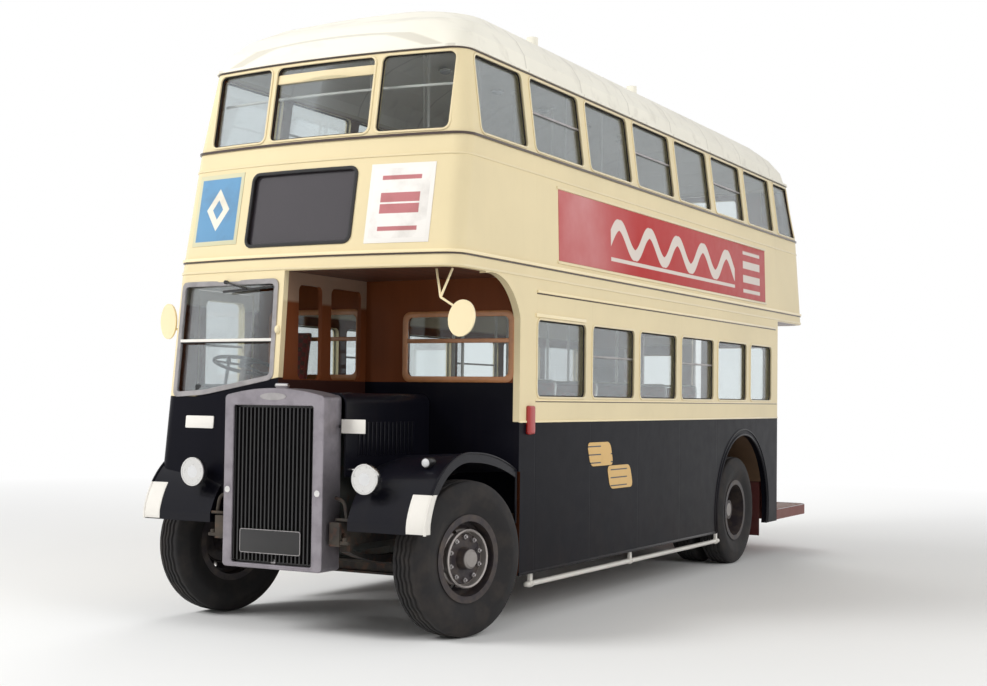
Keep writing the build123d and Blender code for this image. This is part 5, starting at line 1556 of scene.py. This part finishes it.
class BUS_OT_make_cab_trim(bpy.types.Operator):
    """Windscreen frame, wiper, bulkhead window frames and bonnet fittings"""
    bl_idname = "bus.make_cab_trim"
    bl_label = "Cab and bulkhead"

    def execute(self, context):
        make_finishes(context.scene)
        low, high = next(box for box in loose_boxes("glass_front") if box[0][2] < DECK_Z)
        self.outlines = [cross_section(("cab_shell",), z) for z in CAB_LEVELS]
        x0, x1, z0, z1 = front_sides(low, high)
        corners = [(x0, z0), (-0.76, z0 + 0.018), (x1, z0 + 0.124), (x1, z1), (x0, z1)]
        outer, inner = (round_corners(moved_in(corners, d), 0.075 - d) for d in (-0.010, 0.026))
        frame_piece = ring([self.face(*p) for p in outer], [self.face(*p) for p in inner])
        dress(thicken(frame_piece, 0.024, 0.005), "windscreen_frame", "frame_metal")
        steps = 8
        for name, z, tall, thick, key in (("windscreen_bar", 1.908, 0.020, 0.022, "white"),
                                          ("windscreen_joint", 1.899, 0.009, 0.016, "gasket")):
            line = [self.face(x0 + 0.02 + (x1 - x0 - 0.04) * i / steps, z) for i in range(steps + 1)]
            dress(band(line, tall, thick, closed=False, bevel=0.002), name, key)
        wiper = merge([rod(self.face(-0.62, 2.315, 0.024), self.face(-0.42, 2.262, 0.024), 0.006, 10, 0.001),
                       rod(self.face(-0.64, 2.250, 0.016), self.face(-0.20, 2.272, 0.016), 0.009, 10, 0.002),
                       rod(self.face(-0.62, 2.315, 0.004), self.face(-0.62, 2.315, 0.030), 0.014, 16, 0.003)])
        dress(wiper, "wiper", "black")
        outline = rounded(-0.914, -0.654, 1.318, 1.402, 0.008, 2)
        fleet = thicken(plate([self.face(x, z) for x, z in outline]), 0.012, 0.002)
        dress(fleet, "blank_fleet_plate_offside", "white")
        lamp = ball(self.face(-0.150, 1.985, 0.004), (0.020, 0.022, 0.030), 20, 12)
        # the corner lamp's body takes the cream with the painted highlight
        dress(lamp, "cab_corner_lamp", "cream_bright")
        self.bulkhead()
        self.bonnet()
        return {"FINISHED"}

    def face(self, x, z, out=0.0):
        """A point on the cab's raked front."""
        a, b = (reach_of(outline, 0, max(-1.13, min(-0.13, x)), -1) for outline in self.outlines)
        low, high = CAB_LEVELS
        return Vector((x, a + (b - a) * (z - low) / (high - low) - out, z))

    def bulkhead(self):
        """Varnished frames of the windows beside the bonnet and behind the cab."""
        panes = [(low, high) for low, high in loose_boxes("glass_bulkheads") if high[1] < 0]
        frames, bars = [], []
        y = BULKHEAD_Y + 0.0035
        for low, high in panes:
            box = front_sides(low, high)
            frames.append(frame_round(box, 0.035, 0.006, (0.06, 0.04), 0.016, 0.004, lambda x, z: (x, y, z)))
            middle = low[2] + (high[2] - low[2]) * 0.56
            bars.append(block((low[0], y - 0.008, middle), (high[0], y + 0.012, middle + 0.030), 0.004))
        dress(merge(frames + bars), "bulkhead_window_frames", "pale_varnish")

    def bonnet(self):
        """Louvres and handles on the bonnet's side."""
        low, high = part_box("bonnet")
        side, pitch, count = high.x, 0.05, 14
        louvres = []
        for y in [low.y + 0.14 + pitch * i for i in range(count)]:
            louvres.append(block((side - 0.004, y, 1.16), (side + 0.008, y + 0.03, 1.38), 0.005))
        dress(merge(louvres), "bonnet_louvres", "dark", "bonnet")
        handles = []
        z, reach = 1.075, side + 0.022
        for y0, y1 in ((y - 0.04, y + 0.04) for y in (low.y + 0.10, high.y - 0.10)):
            path = [(side, y0, z), (reach, y0, z), (reach, y1, z), (side, y1, z)]
            handles.append(tube(bent(path, 0.012), 0.006))
        dress(merge(handles), "bonnet_handles", "bright", "bonnet")


class BUS_OT_make_wing_trim(bpy.types.Operator):
    """Beads and white corners on the wings, and fittings beside the radiator"""
    bl_idname = "bus.make_wing_trim"
    bl_label = "Wings"

    def execute(self, context):
        make_finishes(context.scene)
        self.edge_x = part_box("front_wings")[1].x
        self.crest_x = 0.68
        self.outlines = [self.outline_at(x) for x in (self.crest_x, self.edge_x)]
        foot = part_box("front_wings")[0].z
        path = sorted(self.outlines[1], key=lambda p: -math.atan2(p[1] - foot, p[0] - KINGPIN.y))
        path = [p for p in path if p[1] > foot + 0.001] + [(path[-1][0], foot)]
        path = [(path[0][0], foot)] + path
        white_low, white_high, steps = 0.706, 0.945, 8
        split = next(i for i, p in enumerate(path) if p[1] > white_high)
        for name, part, key in (("wing_beads", path[split - 1:], "dark"),
                                ("wing_white_beads", path[:split], "white")):
            bead = tube([(self.edge_x - 0.004, y, z) for y, z in part], 0.009)
            dress(both_sides(bead), name, key)
        corner = block((self.edge_x - 0.14, 0, white_low), (self.edge_x + 0.003, 0.007, white_high), 0.003)
        edit(corner, (bpy.ops.mesh.subdivide, {"number_cuts": 5}))
        bend_mesh(corner, lambda p: Vector((p.x, self.front_at(p.x, p.z) - p.y + 0.003, p.z)))
        levels = [white_low + (white_high - white_low) * i / steps for i in range(steps + 1)]
        chain = [(self.edge_x, self.front_at(self.edge_x, z), z) for z in levels]
        face = plate(chain + [(x, y + 0.054, z) for x, y, z in chain[::-1]])
        corners = merge([outward(corner), thicken(face, 0.007, 0.001)])
        dress(both_sides(corners), "wing_white_corners", "white")
        self.fittings()
        return {"FINISHED"}

    def outline_at(self, x):
        """The outline of the wings, seen from the side, at a distance from the middle."""
        mesh = frame["nodes"]["front_wings"].data
        return convex_outline(sorted({(round(v.co.y, 5), round(v.co.z, 5)) for v in mesh.vertices
                                      if abs(v.co.x - x) < 0.002}))

    def front_at(self, x, z):
        """How far forward the wing reaches, at a height."""
        a, b = (reach_of(outline, 1, z, -1) for outline in self.outlines)
        return a + (b - a) * (x - self.crest_x) / (self.edge_x - self.crest_x)

    def fittings(self):
        """A blank fleet plate on its bracket, radiator stays and the starting dog."""
        side = RADIATOR[1].x
        low, high = (side + 0.022, FRONT_Y + 0.170, 1.31), (side + 0.205, FRONT_Y + 0.178, 1.40)
        plate_piece = block(low, high)
        bracket = block((side - 0.010, FRONT_Y + 0.174, 1.345), (side + 0.060, FRONT_Y + 0.182, 1.365), 0.002)
        dress(plate_piece, "blank_fleet_plate_nearside", "white")
        dress(bracket, "fleet_plate_bracket", "black")
        stay = block((0.41, FRONT_Y + 0.056, 0.612), (0.56, FRONT_Y + 0.082, 0.634), 0.004)
        bolt = rod((0.53, FRONT_Y + 0.069, 0.63), (0.53, FRONT_Y + 0.069, 0.655), 0.016, 6, 0.002)
        step = block((0.45, FRONT_Y + 0.07, 0.758), (0.58, FRONT_Y + 0.10, 0.776), 0.005)
        path = [(0.42, FRONT_Y + 0.12, 0.90), (0.50, FRONT_Y + 0.10, 0.88), (0.52, FRONT_Y + 0.10, 0.77)]
        pipe = tube(bent(path, 0.04), 0.012)
        dress(both_sides(merge([stay, bolt, step, pipe])), "radiator_stays", "chassis")
        crank = rod((0.0, FRONT_Y + 0.16, 0.475), (0.0, FRONT_Y + 0.03, 0.475), 0.020, 20, 0.003)
        dress(crank, "starting_dog", "frame_metal")


class BUS_OT_make_side_fittings(bpy.types.Operator):
    """Arch beads, the hood over the first window, the guard rails' collars and the cab door's trim"""
    bl_idname = "bus.make_side_fittings"
    bl_label = "Side fittings"

    def execute(self, context):
        make_finishes(context.scene)
        lift, steps = SKIRT_Z - TYRE_R, 44
        for name, radius, thick in (("arch_bead", 0.724, 0.010), ("arch_outer_bead", 0.772, 0.007)):
            start = math.asin(lift / radius)
            angles = [start + (math.pi - 2 * start) * i / steps for i in range(steps + 1)]
            points = [(SIDE_X + 0.001, REAR_AXLE_Y + radius * math.cos(a), TYRE_R + radius * math.sin(a))
                      for a in angles]
            dress(both_sides(tube(points, thick)), name, "dark")
        hood = block((SIDE_X - 0.012, -2.535, 2.116), (SIDE_X + 0.012, -1.715, 2.146), 0.008, 3)
        # the hood's bright cream is a painted highlight
        dress(hood, "first_window_hood", "cream_bright")
        self.guard()
        self.door()
        flap = block((-SIDE_X - 0.006, -0.52, 0.72), (-SIDE_X + 0.01, -0.36, 0.88), 0.006)
        knob = rod((-SIDE_X - 0.018, -0.385, 0.80), (-SIDE_X, -0.385, 0.80), 0.010, 16, 0.002)
        dress(merge([flap, knob]), "fuel_flap", "dark")
        return {"FINISHED"}

    def guard(self):
        """Collars and end caps of the guard rails."""
        low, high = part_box("guard_rails")
        x, z = high.x - 0.019, low.z + 0.019
        collar = rod((x, -0.024, z), (x, 0.024, z), 0.025, 20, 0.004)
        bolt = rod((x + 0.020, 0, z), (x + 0.032, 0, z), 0.010, 6, 0.002)
        stations = (low.y + 0.06, (low.y + high.y) / 2 - 0.12, high.y - 0.06)
        collars = copied(merge([collar, bolt]), [shift(y=y) for y in stations])
        ends = [ball((x, y, z), (0.019, 0.010, 0.019), 16, 8) for y in (low.y + 0.003, high.y - 0.003)]
        dress(both_sides(merge([collars] + ends)), "guard_rail_collars", "white")

    def door(self):
        """Window frame and handle of the cab door, with the step plates and grab rail beside it."""
        (y0, z0), (y1, z1) = ((c.y, c.z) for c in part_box("cab_door_glass"))
        piece = frame_round((y0, y1, z0, z1), 0.014, 0.004, (0.058, 0.042), 0.014, 0.004,
                            lambda y, z: (-SIDE_X, y, z))
        # the door frame's bright cream is a painted highlight
        dress(piece, "door_window_frame", "cream_bright", "cab_door")
        bar = block((-SIDE_X + 0.014, y0, (z0 + z1) / 2), (-SIDE_X + 0.030, y1, (z0 + z1) / 2 + 0.018), 0.003)
        dress(bar, "door_window_bar", "frame_metal", "cab_door")
        front, x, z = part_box("cab_door")[0].y, -SIDE_X, 1.43
        y = front + 0.05
        handle = tube(bent([(x, y, z), (x - 0.035, y, z), (x - 0.035, front + 0.16, z)], 0.02), 0.008)
        boss = rod((x + 0.004, y, z), (x - 0.008, y, z), 0.022, 20, 0.003)
        dress(merge([handle, boss]), "door_handle", "bright", "cab_door")
        plates = [block((x - 0.004, -2.72, z), (x + 0.01, -2.54, z + 0.075), 0.004) for z in (0.56, 0.92)]
        dress(merge(plates), "cab_step_plates", "frame_metal")
        y, low, high = -3.52, 1.50, 1.80
        rail = tube(bent([(x, y, low), (x - 0.04, y, low), (x - 0.04, y, high), (x, y, high)], 0.03), 0.010)
        dress(rail, "cab_grab_rail", "white")


# Steps round a quarter of a circle
CORNER_ANGLES = [math.radians(15 * i) for i in range(1, 6)]


class BUS_OT_make_rear(bpy.types.Operator):
    """Beads, frames, lamps and blank plates of the back, and the platform's trim"""
    bl_idname = "bus.make_rear"
    bl_label = "Rear"

    def execute(self, context):
        make_finishes(context.scene)
        sizes = context.scene.bus_sizes
        self.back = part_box("rear_lower_panel")[1].y
        # the bright cream waist bead and rain strip carry a painted highlight
        for z, tall, proud, key, name in (
                (sizes.waist - 0.006, 0.014, 0.007, "cream_bright", "rear_waist_bead"),
                (sizes.rain, 0.018, 0.013, "cream_bright", "rear_rain_strip"),
                (0.455, 0.03, 0.006, "dark", "rear_skirt_rail")):
            dress(band([(x, y, z) for x, y in self.corner()], tall, 2 * proud, closed=False), name, key)
        self.windows()
        self.lamps()
        self.platform()
        self.stairs()
        return {"FINISHED"}

    def corner(self):
        """The line of the closed rear corner, seen from above."""
        side, back, radius = -SIDE_X, self.back, 0.26
        points = [(side, SALOON_END + 0.01), (side, back - radius)]
        points += [(side + radius - radius * math.cos(a), back - radius + radius * math.sin(a))
                   for a in CORNER_ANGLES]
        return points + [(side + radius, back), (-0.165, back)]

    def windows(self):
        """Frames of the stair window, the emergency window and the saloon's back windows."""
        boxes = [(low, high) for low, high in loose_boxes("glass_bulkheads") if low[1] > 0]
        for number, (low, high) in enumerate(boxes):
            outside = low[1] > SALOON_END
            y = self.back if outside else SALOON_END
            box = front_sides(low, high)
            piece = frame_round(box, 0.02, 0.004, (0.06, 0.042), 0.014, 0.004, lambda x, z: (x, y, z))
            dress(piece, f"back_window_frame_{number}", "cream" if outside else "pale_varnish")
        low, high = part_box("emergency_glass")
        box = front_sides(low, high)
        piece = frame_round(box, 0.02, 0.004, (0.06, 0.042), 0.014, 0.004, self.rear_face)
        # the emergency frame's bright cream is a painted highlight
        dress(piece, "emergency_frame", "cream_bright", "emergency_window")
        y, z, half = upper_skin(0, 0.0, low.z - 0.04, 1), low.z - 0.032, 0.09
        path = [(-half, y, z), (-half, y + 0.03, z), (half, y + 0.03, z), (half, y, z)]
        handle = tube(bent(path, 0.02), 0.007)
        dress(handle, "emergency_handle", "bright", "emergency_window")

    def rear_face(self, x, z, out=0.0):
        """A point on the upper back, moved out from it."""
        return Vector((x, upper_skin(0, x, z, 1) + out, z))

    def lamps(self):
        """Tail lamps, reflectors, the blank plate with its lamp and the blank rear display."""
        y = self.back
        glasses, rims = [], []
        for z, size in ((1.20, 0.040), (0.95, 0.028)):
            for x in (-0.90, -0.24):
                glasses.append(ball((x, y + 0.014, z), (size * 0.84, 0.020, size * 0.84), 24, 12))
                rims.append(rod((x, y - 0.002, z), (x, y + 0.018, z), size, 28, 0.005))
        dress(merge(glasses), "tail_lamp_glasses", "red_lens")
        dress(merge(rims), "tail_lamp_rims", "bright")
        plate_piece = block((-0.82, y - 0.002, 0.66), (-0.32, y + 0.012, 0.80), 0.004)
        dress(plate_piece, "blank_rear_plate", "black")
        lamp = merge([rod((-0.57, y + 0.002, 0.835), (-0.57, y + 0.030, 0.835), 0.022, 20, 0.004),
                      block((-0.62, y + 0.002, 0.815), (-0.52, y + 0.034, 0.832), 0.004)])
        dress(lamp, "plate_lamp", "black")
        box = (-0.36, 0.36, 2.66, 2.92)
        glass = thicken(plate([self.rear_face(x, z, -0.001) for x, z in rounded(*box, 0.03)]), 0.010, 0.001)
        dress(glass, "rear_display", "dark_glass")
        piece = frame_round(box, 0.02, 0, (0.05, 0.03), 0.020, 0.005, self.rear_face, 4)
        # the display frame's bright cream is a painted highlight
        dress(piece, "rear_display_frame", "cream_bright")

    def platform(self):
        """Slats, bright edge and the grab pole's collars."""
        top = PLATFORM_Z
        low, high = (-0.006, SALOON_END + 0.03, top - 0.002), (0.006, REAR_END - 0.05, top + 0.007)
        slat = block(low, high, 0.002, 1)
        slats = copied(slat, spaced((-0.12, 0, 0), (0.05, 0, 0), 25))
        dress(slats, "platform_slats", "tread_wood")
        x, y, r = SIDE_X - 0.006, REAR_END - 0.006, 0.116
        edge = [(x, SALOON_END + 0.02), (x, y - r)]
        edge += [(x - r + r * math.cos(a), y - r + r * math.sin(a)) for a in CORNER_ANGLES]
        edge += [(x - r, y), (-x + r, y)]
        nosing = band([(px, py, top - 0.010) for px, py in edge], 0.016, 0.010, closed=False)
        dress(nosing, "platform_nosing", "frame_metal")
        collars = []
        for pole_low, pole_high in loose_boxes("platform_poles"):
            px, py = (pole_low[0] + pole_high[0]) / 2, (pole_low[1] + pole_high[1]) / 2
            for z in (pole_low[2], 1.25, pole_high[2] - 0.035):
                collars.append(rod((px, py, z), (px, py, z + 0.035), 0.030, 24, 0.006))
        dress(merge(collars), "pole_collars", "bright")
        x, y, low, high = 0.40, SALOON_END + 0.058, 1.05, 1.75
        path = [(x, SALOON_END, low), (x, y, low), (x, y, high), (x, SALOON_END, high)]
        rail = tube(bent(path, 0.04), 0.014)
        dress(both_sides(rail), "door_grab_rails", "white")

    def stairs(self):
        """Bright nosings on the treads and a handrail up the stairs."""
        rise = (UPPER_FLOOR_Z - PLATFORM_Z) / 8
        back = self.back - 0.05
        nosings = []
        lower = ((-0.16, back - 0.70, back), (-0.40, back - 0.70, back), (-0.64, back - 0.70, back - 0.06))
        for number, (x, y0, y1) in enumerate(lower):
            z = PLATFORM_Z + rise * (number + 1)
            low, high = (x - 0.03, y0 + 0.01, z - 0.004), (x + 0.004, y1 - 0.01, z + 0.005)
            nosings.append(block(low, high, 0.002, 1))
        for number, y in enumerate((back - 0.33, back - 0.51, back - 0.69)):
            z = PLATFORM_Z + rise * (number + 5)
            nosings.append(block((-1.07, y - 0.03, z - 0.004), (-0.65, y + 0.004, z + 0.005), 0.002, 1))
        dress(merge(nosings), "stair_nosings", "frame_metal")
        path = [(-0.20, back - 0.72, 1.30), (-0.62, back - 0.74, 1.85), (-0.62, back - 0.86, 2.15)]
        rail = tube(bent(path, 0.08), 0.014)
        dress(rail, "stair_handrail", "white")


class BUS_OT_make_interior(bpy.types.Operator):
    """Seat poles, ceiling lamps, the bell rail and the cab's fittings"""
    bl_idname = "bus.make_interior"
    bl_label = "Interior"

    def execute(self, context):
        make_finishes(context.scene)
        poles, bosses = [], []
        for low, high in bench_boxes()[0]:
            if low[0] < 0:
                continue
            upper = low[2] > DECK_Z
            ceiling = GUTTER_Z + 0.40 if upper else DECK_Z
            x, y = low[0] + 0.02, high[1] - 0.05
            poles.append(rod((x, y, high[2] - 0.10), (x, y, ceiling), 0.012, 10))
            bosses.append(rod((x, y, ceiling - 0.03), (x, y, ceiling), 0.024, 16, 0.004))
        dress(both_sides(merge(poles)), "seat_poles", "white")
        dress(both_sides(merge(bosses)), "pole_bosses", "white")
        lamps, bowls = [], []
        for bay in range(BAYS):
            y = FIRST_PILLAR + BAY * (bay + 0.5)
            for x, z in ((0.40, DECK_Z), (0.42, GUTTER_Z + 0.425)):
                lamps.append(rod((x, y, z - 0.012), (x, y, z + 0.002), 0.060, 24, 0.004))
                bowls.append(ball((x, y, z - 0.012), (0.048, 0.048, 0.028), 20, 10))
        dress(both_sides(merge(lamps)), "ceiling_lamp_rims", "bright")
        dress(both_sides(merge(bowls)), "ceiling_lamp_bowls", "clear_lens")
        z = DECK_Z - 0.05
        bell_rail = rod((0.0, BULKHEAD_Y + 0.3, z), (0.0, SALOON_END - 0.1, z), 0.006, 10)
        dress(bell_rail, "bell_rail", "bright")
        self.cab()
        return {"FINISHED"}

    def cab(self):
        """Dials, the gear lever, the hand brake and pedals."""
        x = JOINTS["steering_wheel_turn"]["pos_m"][0]
        board = block((x - 0.18, FRONT_Y + 0.27, 1.50), (x + 0.34, FRONT_Y + 0.30, 1.62), 0.010, 3)
        foot = block((x + 0.02, FRONT_Y + 0.24, 1.40), (x + 0.10, FRONT_Y + 0.28, 1.52), 0.006)
        dress(merge([board, foot]), "dial_board", "black")
        rims = [rod((x + dx, FRONT_Y + 0.298, 1.56), (x + dx, FRONT_Y + 0.312, 1.56), r, 28, 0.004)
                for dx, r in ((0.0, 0.045), (0.11, 0.035), (0.20, 0.030), (0.27, 0.022))]
        dress(merge(rims), "dial_rims", "bright")
        path = [(x + 0.20, -3.35, 1.21), (x + 0.20, -3.33, 1.50), (x + 0.17, -3.30, 1.72)]
        lever = tube(bent(path, 0.10), 0.011)
        path = [(x - 0.27, -3.32, 1.21), (x - 0.27, -3.30, 1.60), (x - 0.27, -3.26, 1.78)]
        brake = tube(bent(path, 0.10), 0.012)
        dress(merge([lever, brake]), "cab_levers", "black")
        knobs = [ball((x + 0.17, -3.30, 1.735), (0.026, 0.026, 0.026)),
                 ball((x - 0.27, -3.26, 1.79), (0.018, 0.018, 0.035))]
        dress(merge(knobs), "lever_knobs", "rubber")
        pedals = [block((x + dx, -3.62, 1.215), (x + dx + 0.075, -3.52, 1.33), 0.008)
                  for dx in (-0.12, 0.02, 0.13)]
        dress(merge(pedals), "pedals", "rubber")


class BUS_OT_make_stage(bpy.types.Operator):
    """Floor, lights and camera"""
    bl_idname = "bus.make_stage"
    bl_label = "Stage"

    def execute(self, context):
        clear_selection()
        bpy.ops.mesh.primitive_plane_add(size=300.0, location=(0, 0, 0))
        floor = bpy.context.object
        floor.name = "stage_floor"
        finish = Finish("stage_floor_paint", Roughness=0.9, Specular_IOR_Level=0.1)
        x, y, _ = finish.axes()
        tone = finish.noise(0.4, 3.0)
        finish.colour(finish.mix(tone * 0.2, (0.84, 0.84, 0.83), (0.80, 0.80, 0.79)))
        near, fading = 5.0, 11.0
        far = (((x * x + y * y).root() - near) / fading).clamp() * self.seen(finish.tree)
        white = finish.node("ShaderNodeEmission", inputs={"Color": (1.0, 1.0, 1.0), "Strength": 1.0})
        layers = {0: far, 1: finish.shader.outputs[0], 2: white.outputs[0]}
        blend = finish.node("ShaderNodeMixShader", inputs=layers)
        finish.tree.links.new(blend.outputs[0], finish.output.inputs["Surface"])
        floor.data.materials.append(finish.material)
        self.world(context.scene)
        self.lights()
        self.camera(context.scene)
        return {"FINISHED"}

    def seen(self, tree):
        """1 for what the camera sees, straight, in a reflection or through glass."""
        path = add_node(tree, "ShaderNodeLightPath")
        total = path.outputs["Is Camera Ray"]
        for ray in ("Is Glossy Ray", "Is Transmission Ray"):
            highest = add_node(tree, "ShaderNodeMath", {"operation": "MAXIMUM"},
                               {0: total, 1: path.outputs[ray]})
            total = highest.outputs[0]
        return total

    def world(self, scene):
        """A pale sky that shows white to the camera and in reflections."""
        world = bpy.data.worlds.new("studio")
        scene.world = world
        world.use_nodes = True
        tree = world.node_tree
        strength = add_node(tree, "ShaderNodeMapRange",
                            inputs={"Value": self.seen(tree), "To Min": 0.50, "To Max": 1.0})
        plug(tree, tree.nodes["Background"].inputs["Color"], (1.0, 1.0, 1.0))
        plug(tree, tree.nodes["Background"].inputs["Strength"], strength.outputs[0])

    def lights(self):
        """Soft lamps: from the front, the open side and the back."""
        for name, place, target, size, power in (
                ("key", (-8.0, -13.0, 10.0), (0, -3.0, 2.4), 6.0, 1700.0),
                ("side", (14.0, -5.0, 8.0), (0.5, 0, 2.0), 8.0, 900.0),
                ("back", (-7.0, 14.0, 9.0), (0, 2.0, 2.0), 8.0, 1000.0)):
            clear_selection()
            bpy.ops.object.light_add(type="AREA", location=place)
            light = bpy.context.object
            light.name = name
            light.data.size = size
            light.data.energy = power
            light.visible_glossy = False
            light.rotation_euler = (Vector(target) - Vector(place)).to_track_quat("-Z", "Y").to_euler()

    def camera(self, scene):
        """The photograph's own view: place, turn and lens."""
        place = Vector((5.7521, -11.5501, 1.5437))
        yaw, pitch, roll = math.radians(28.723), math.radians(2.1967), math.radians(0.7484)
        focal_pixels, image_width, sensor = 1454.13, 987.0, 36.0
        ahead = Vector((-math.sin(yaw) * math.cos(pitch), math.cos(yaw) * math.cos(pitch), math.sin(pitch)))
        level = Vector((math.cos(yaw), math.sin(yaw), 0))
        above = level.cross(ahead)
        right = level * math.cos(roll) + above * math.sin(roll)
        up = above * math.cos(roll) - level * math.sin(roll)
        clear_selection()
        bpy.ops.object.camera_add(location=place)
        camera = bpy.context.object
        camera.rotation_euler = Matrix((right, up, -ahead)).transposed().to_euler()
        camera.data.sensor_width = sensor
        camera.data.lens = sensor * focal_pixels / image_width
        camera.data.clip_end = 200.0
        scene.camera = camera
        scene.view_settings.view_transform = "Standard"


OPERATORS = (
    BUS_OT_paint_frame, BUS_OT_make_mouldings, BUS_OT_make_side_windows, BUS_OT_make_front,
    BUS_OT_make_side_boards, BUS_OT_make_radiator, BUS_OT_make_tyres, BUS_OT_make_lamps,
    BUS_OT_make_seats, BUS_OT_make_cab_trim, BUS_OT_make_wing_trim, BUS_OT_make_side_fittings,
    BUS_OT_make_rear, BUS_OT_make_interior, BUS_OT_make_stage,
)


class BUS_PT_panel(bpy.types.Panel):
    """Lists the steps that dress the bus"""
    bl_idname = "BUS_PT_panel"
    bl_label = "Double decker bus"
    bl_space_type = "VIEW_3D"
    bl_region_type = "UI"
    bl_category = "Bus"

    def draw(self, context):
        for operator in OPERATORS:
            self.layout.operator(operator.bl_idname)


CLASSES = (BusColours, BusSizes) + OPERATORS + (BUS_PT_panel,)


def register():
    for cls in CLASSES:
        bpy.utils.register_class(cls)
    bpy.types.Scene.bus_colours = PointerProperty(type=BusColours)
    bpy.types.Scene.bus_sizes = PointerProperty(type=BusSizes)


def unregister():
    del bpy.types.Scene.bus_colours
    del bpy.types.Scene.bus_sizes
    for cls in reversed(CLASSES):
        bpy.utils.unregister_class(cls)


def main():
    """Dresses the bus step by step."""
    register()
    for operator in OPERATORS:
        group, name = operator.bl_idname.split(".")
        getattr(getattr(bpy.ops, group), name)()


if __name__ == "__main__":
    main()
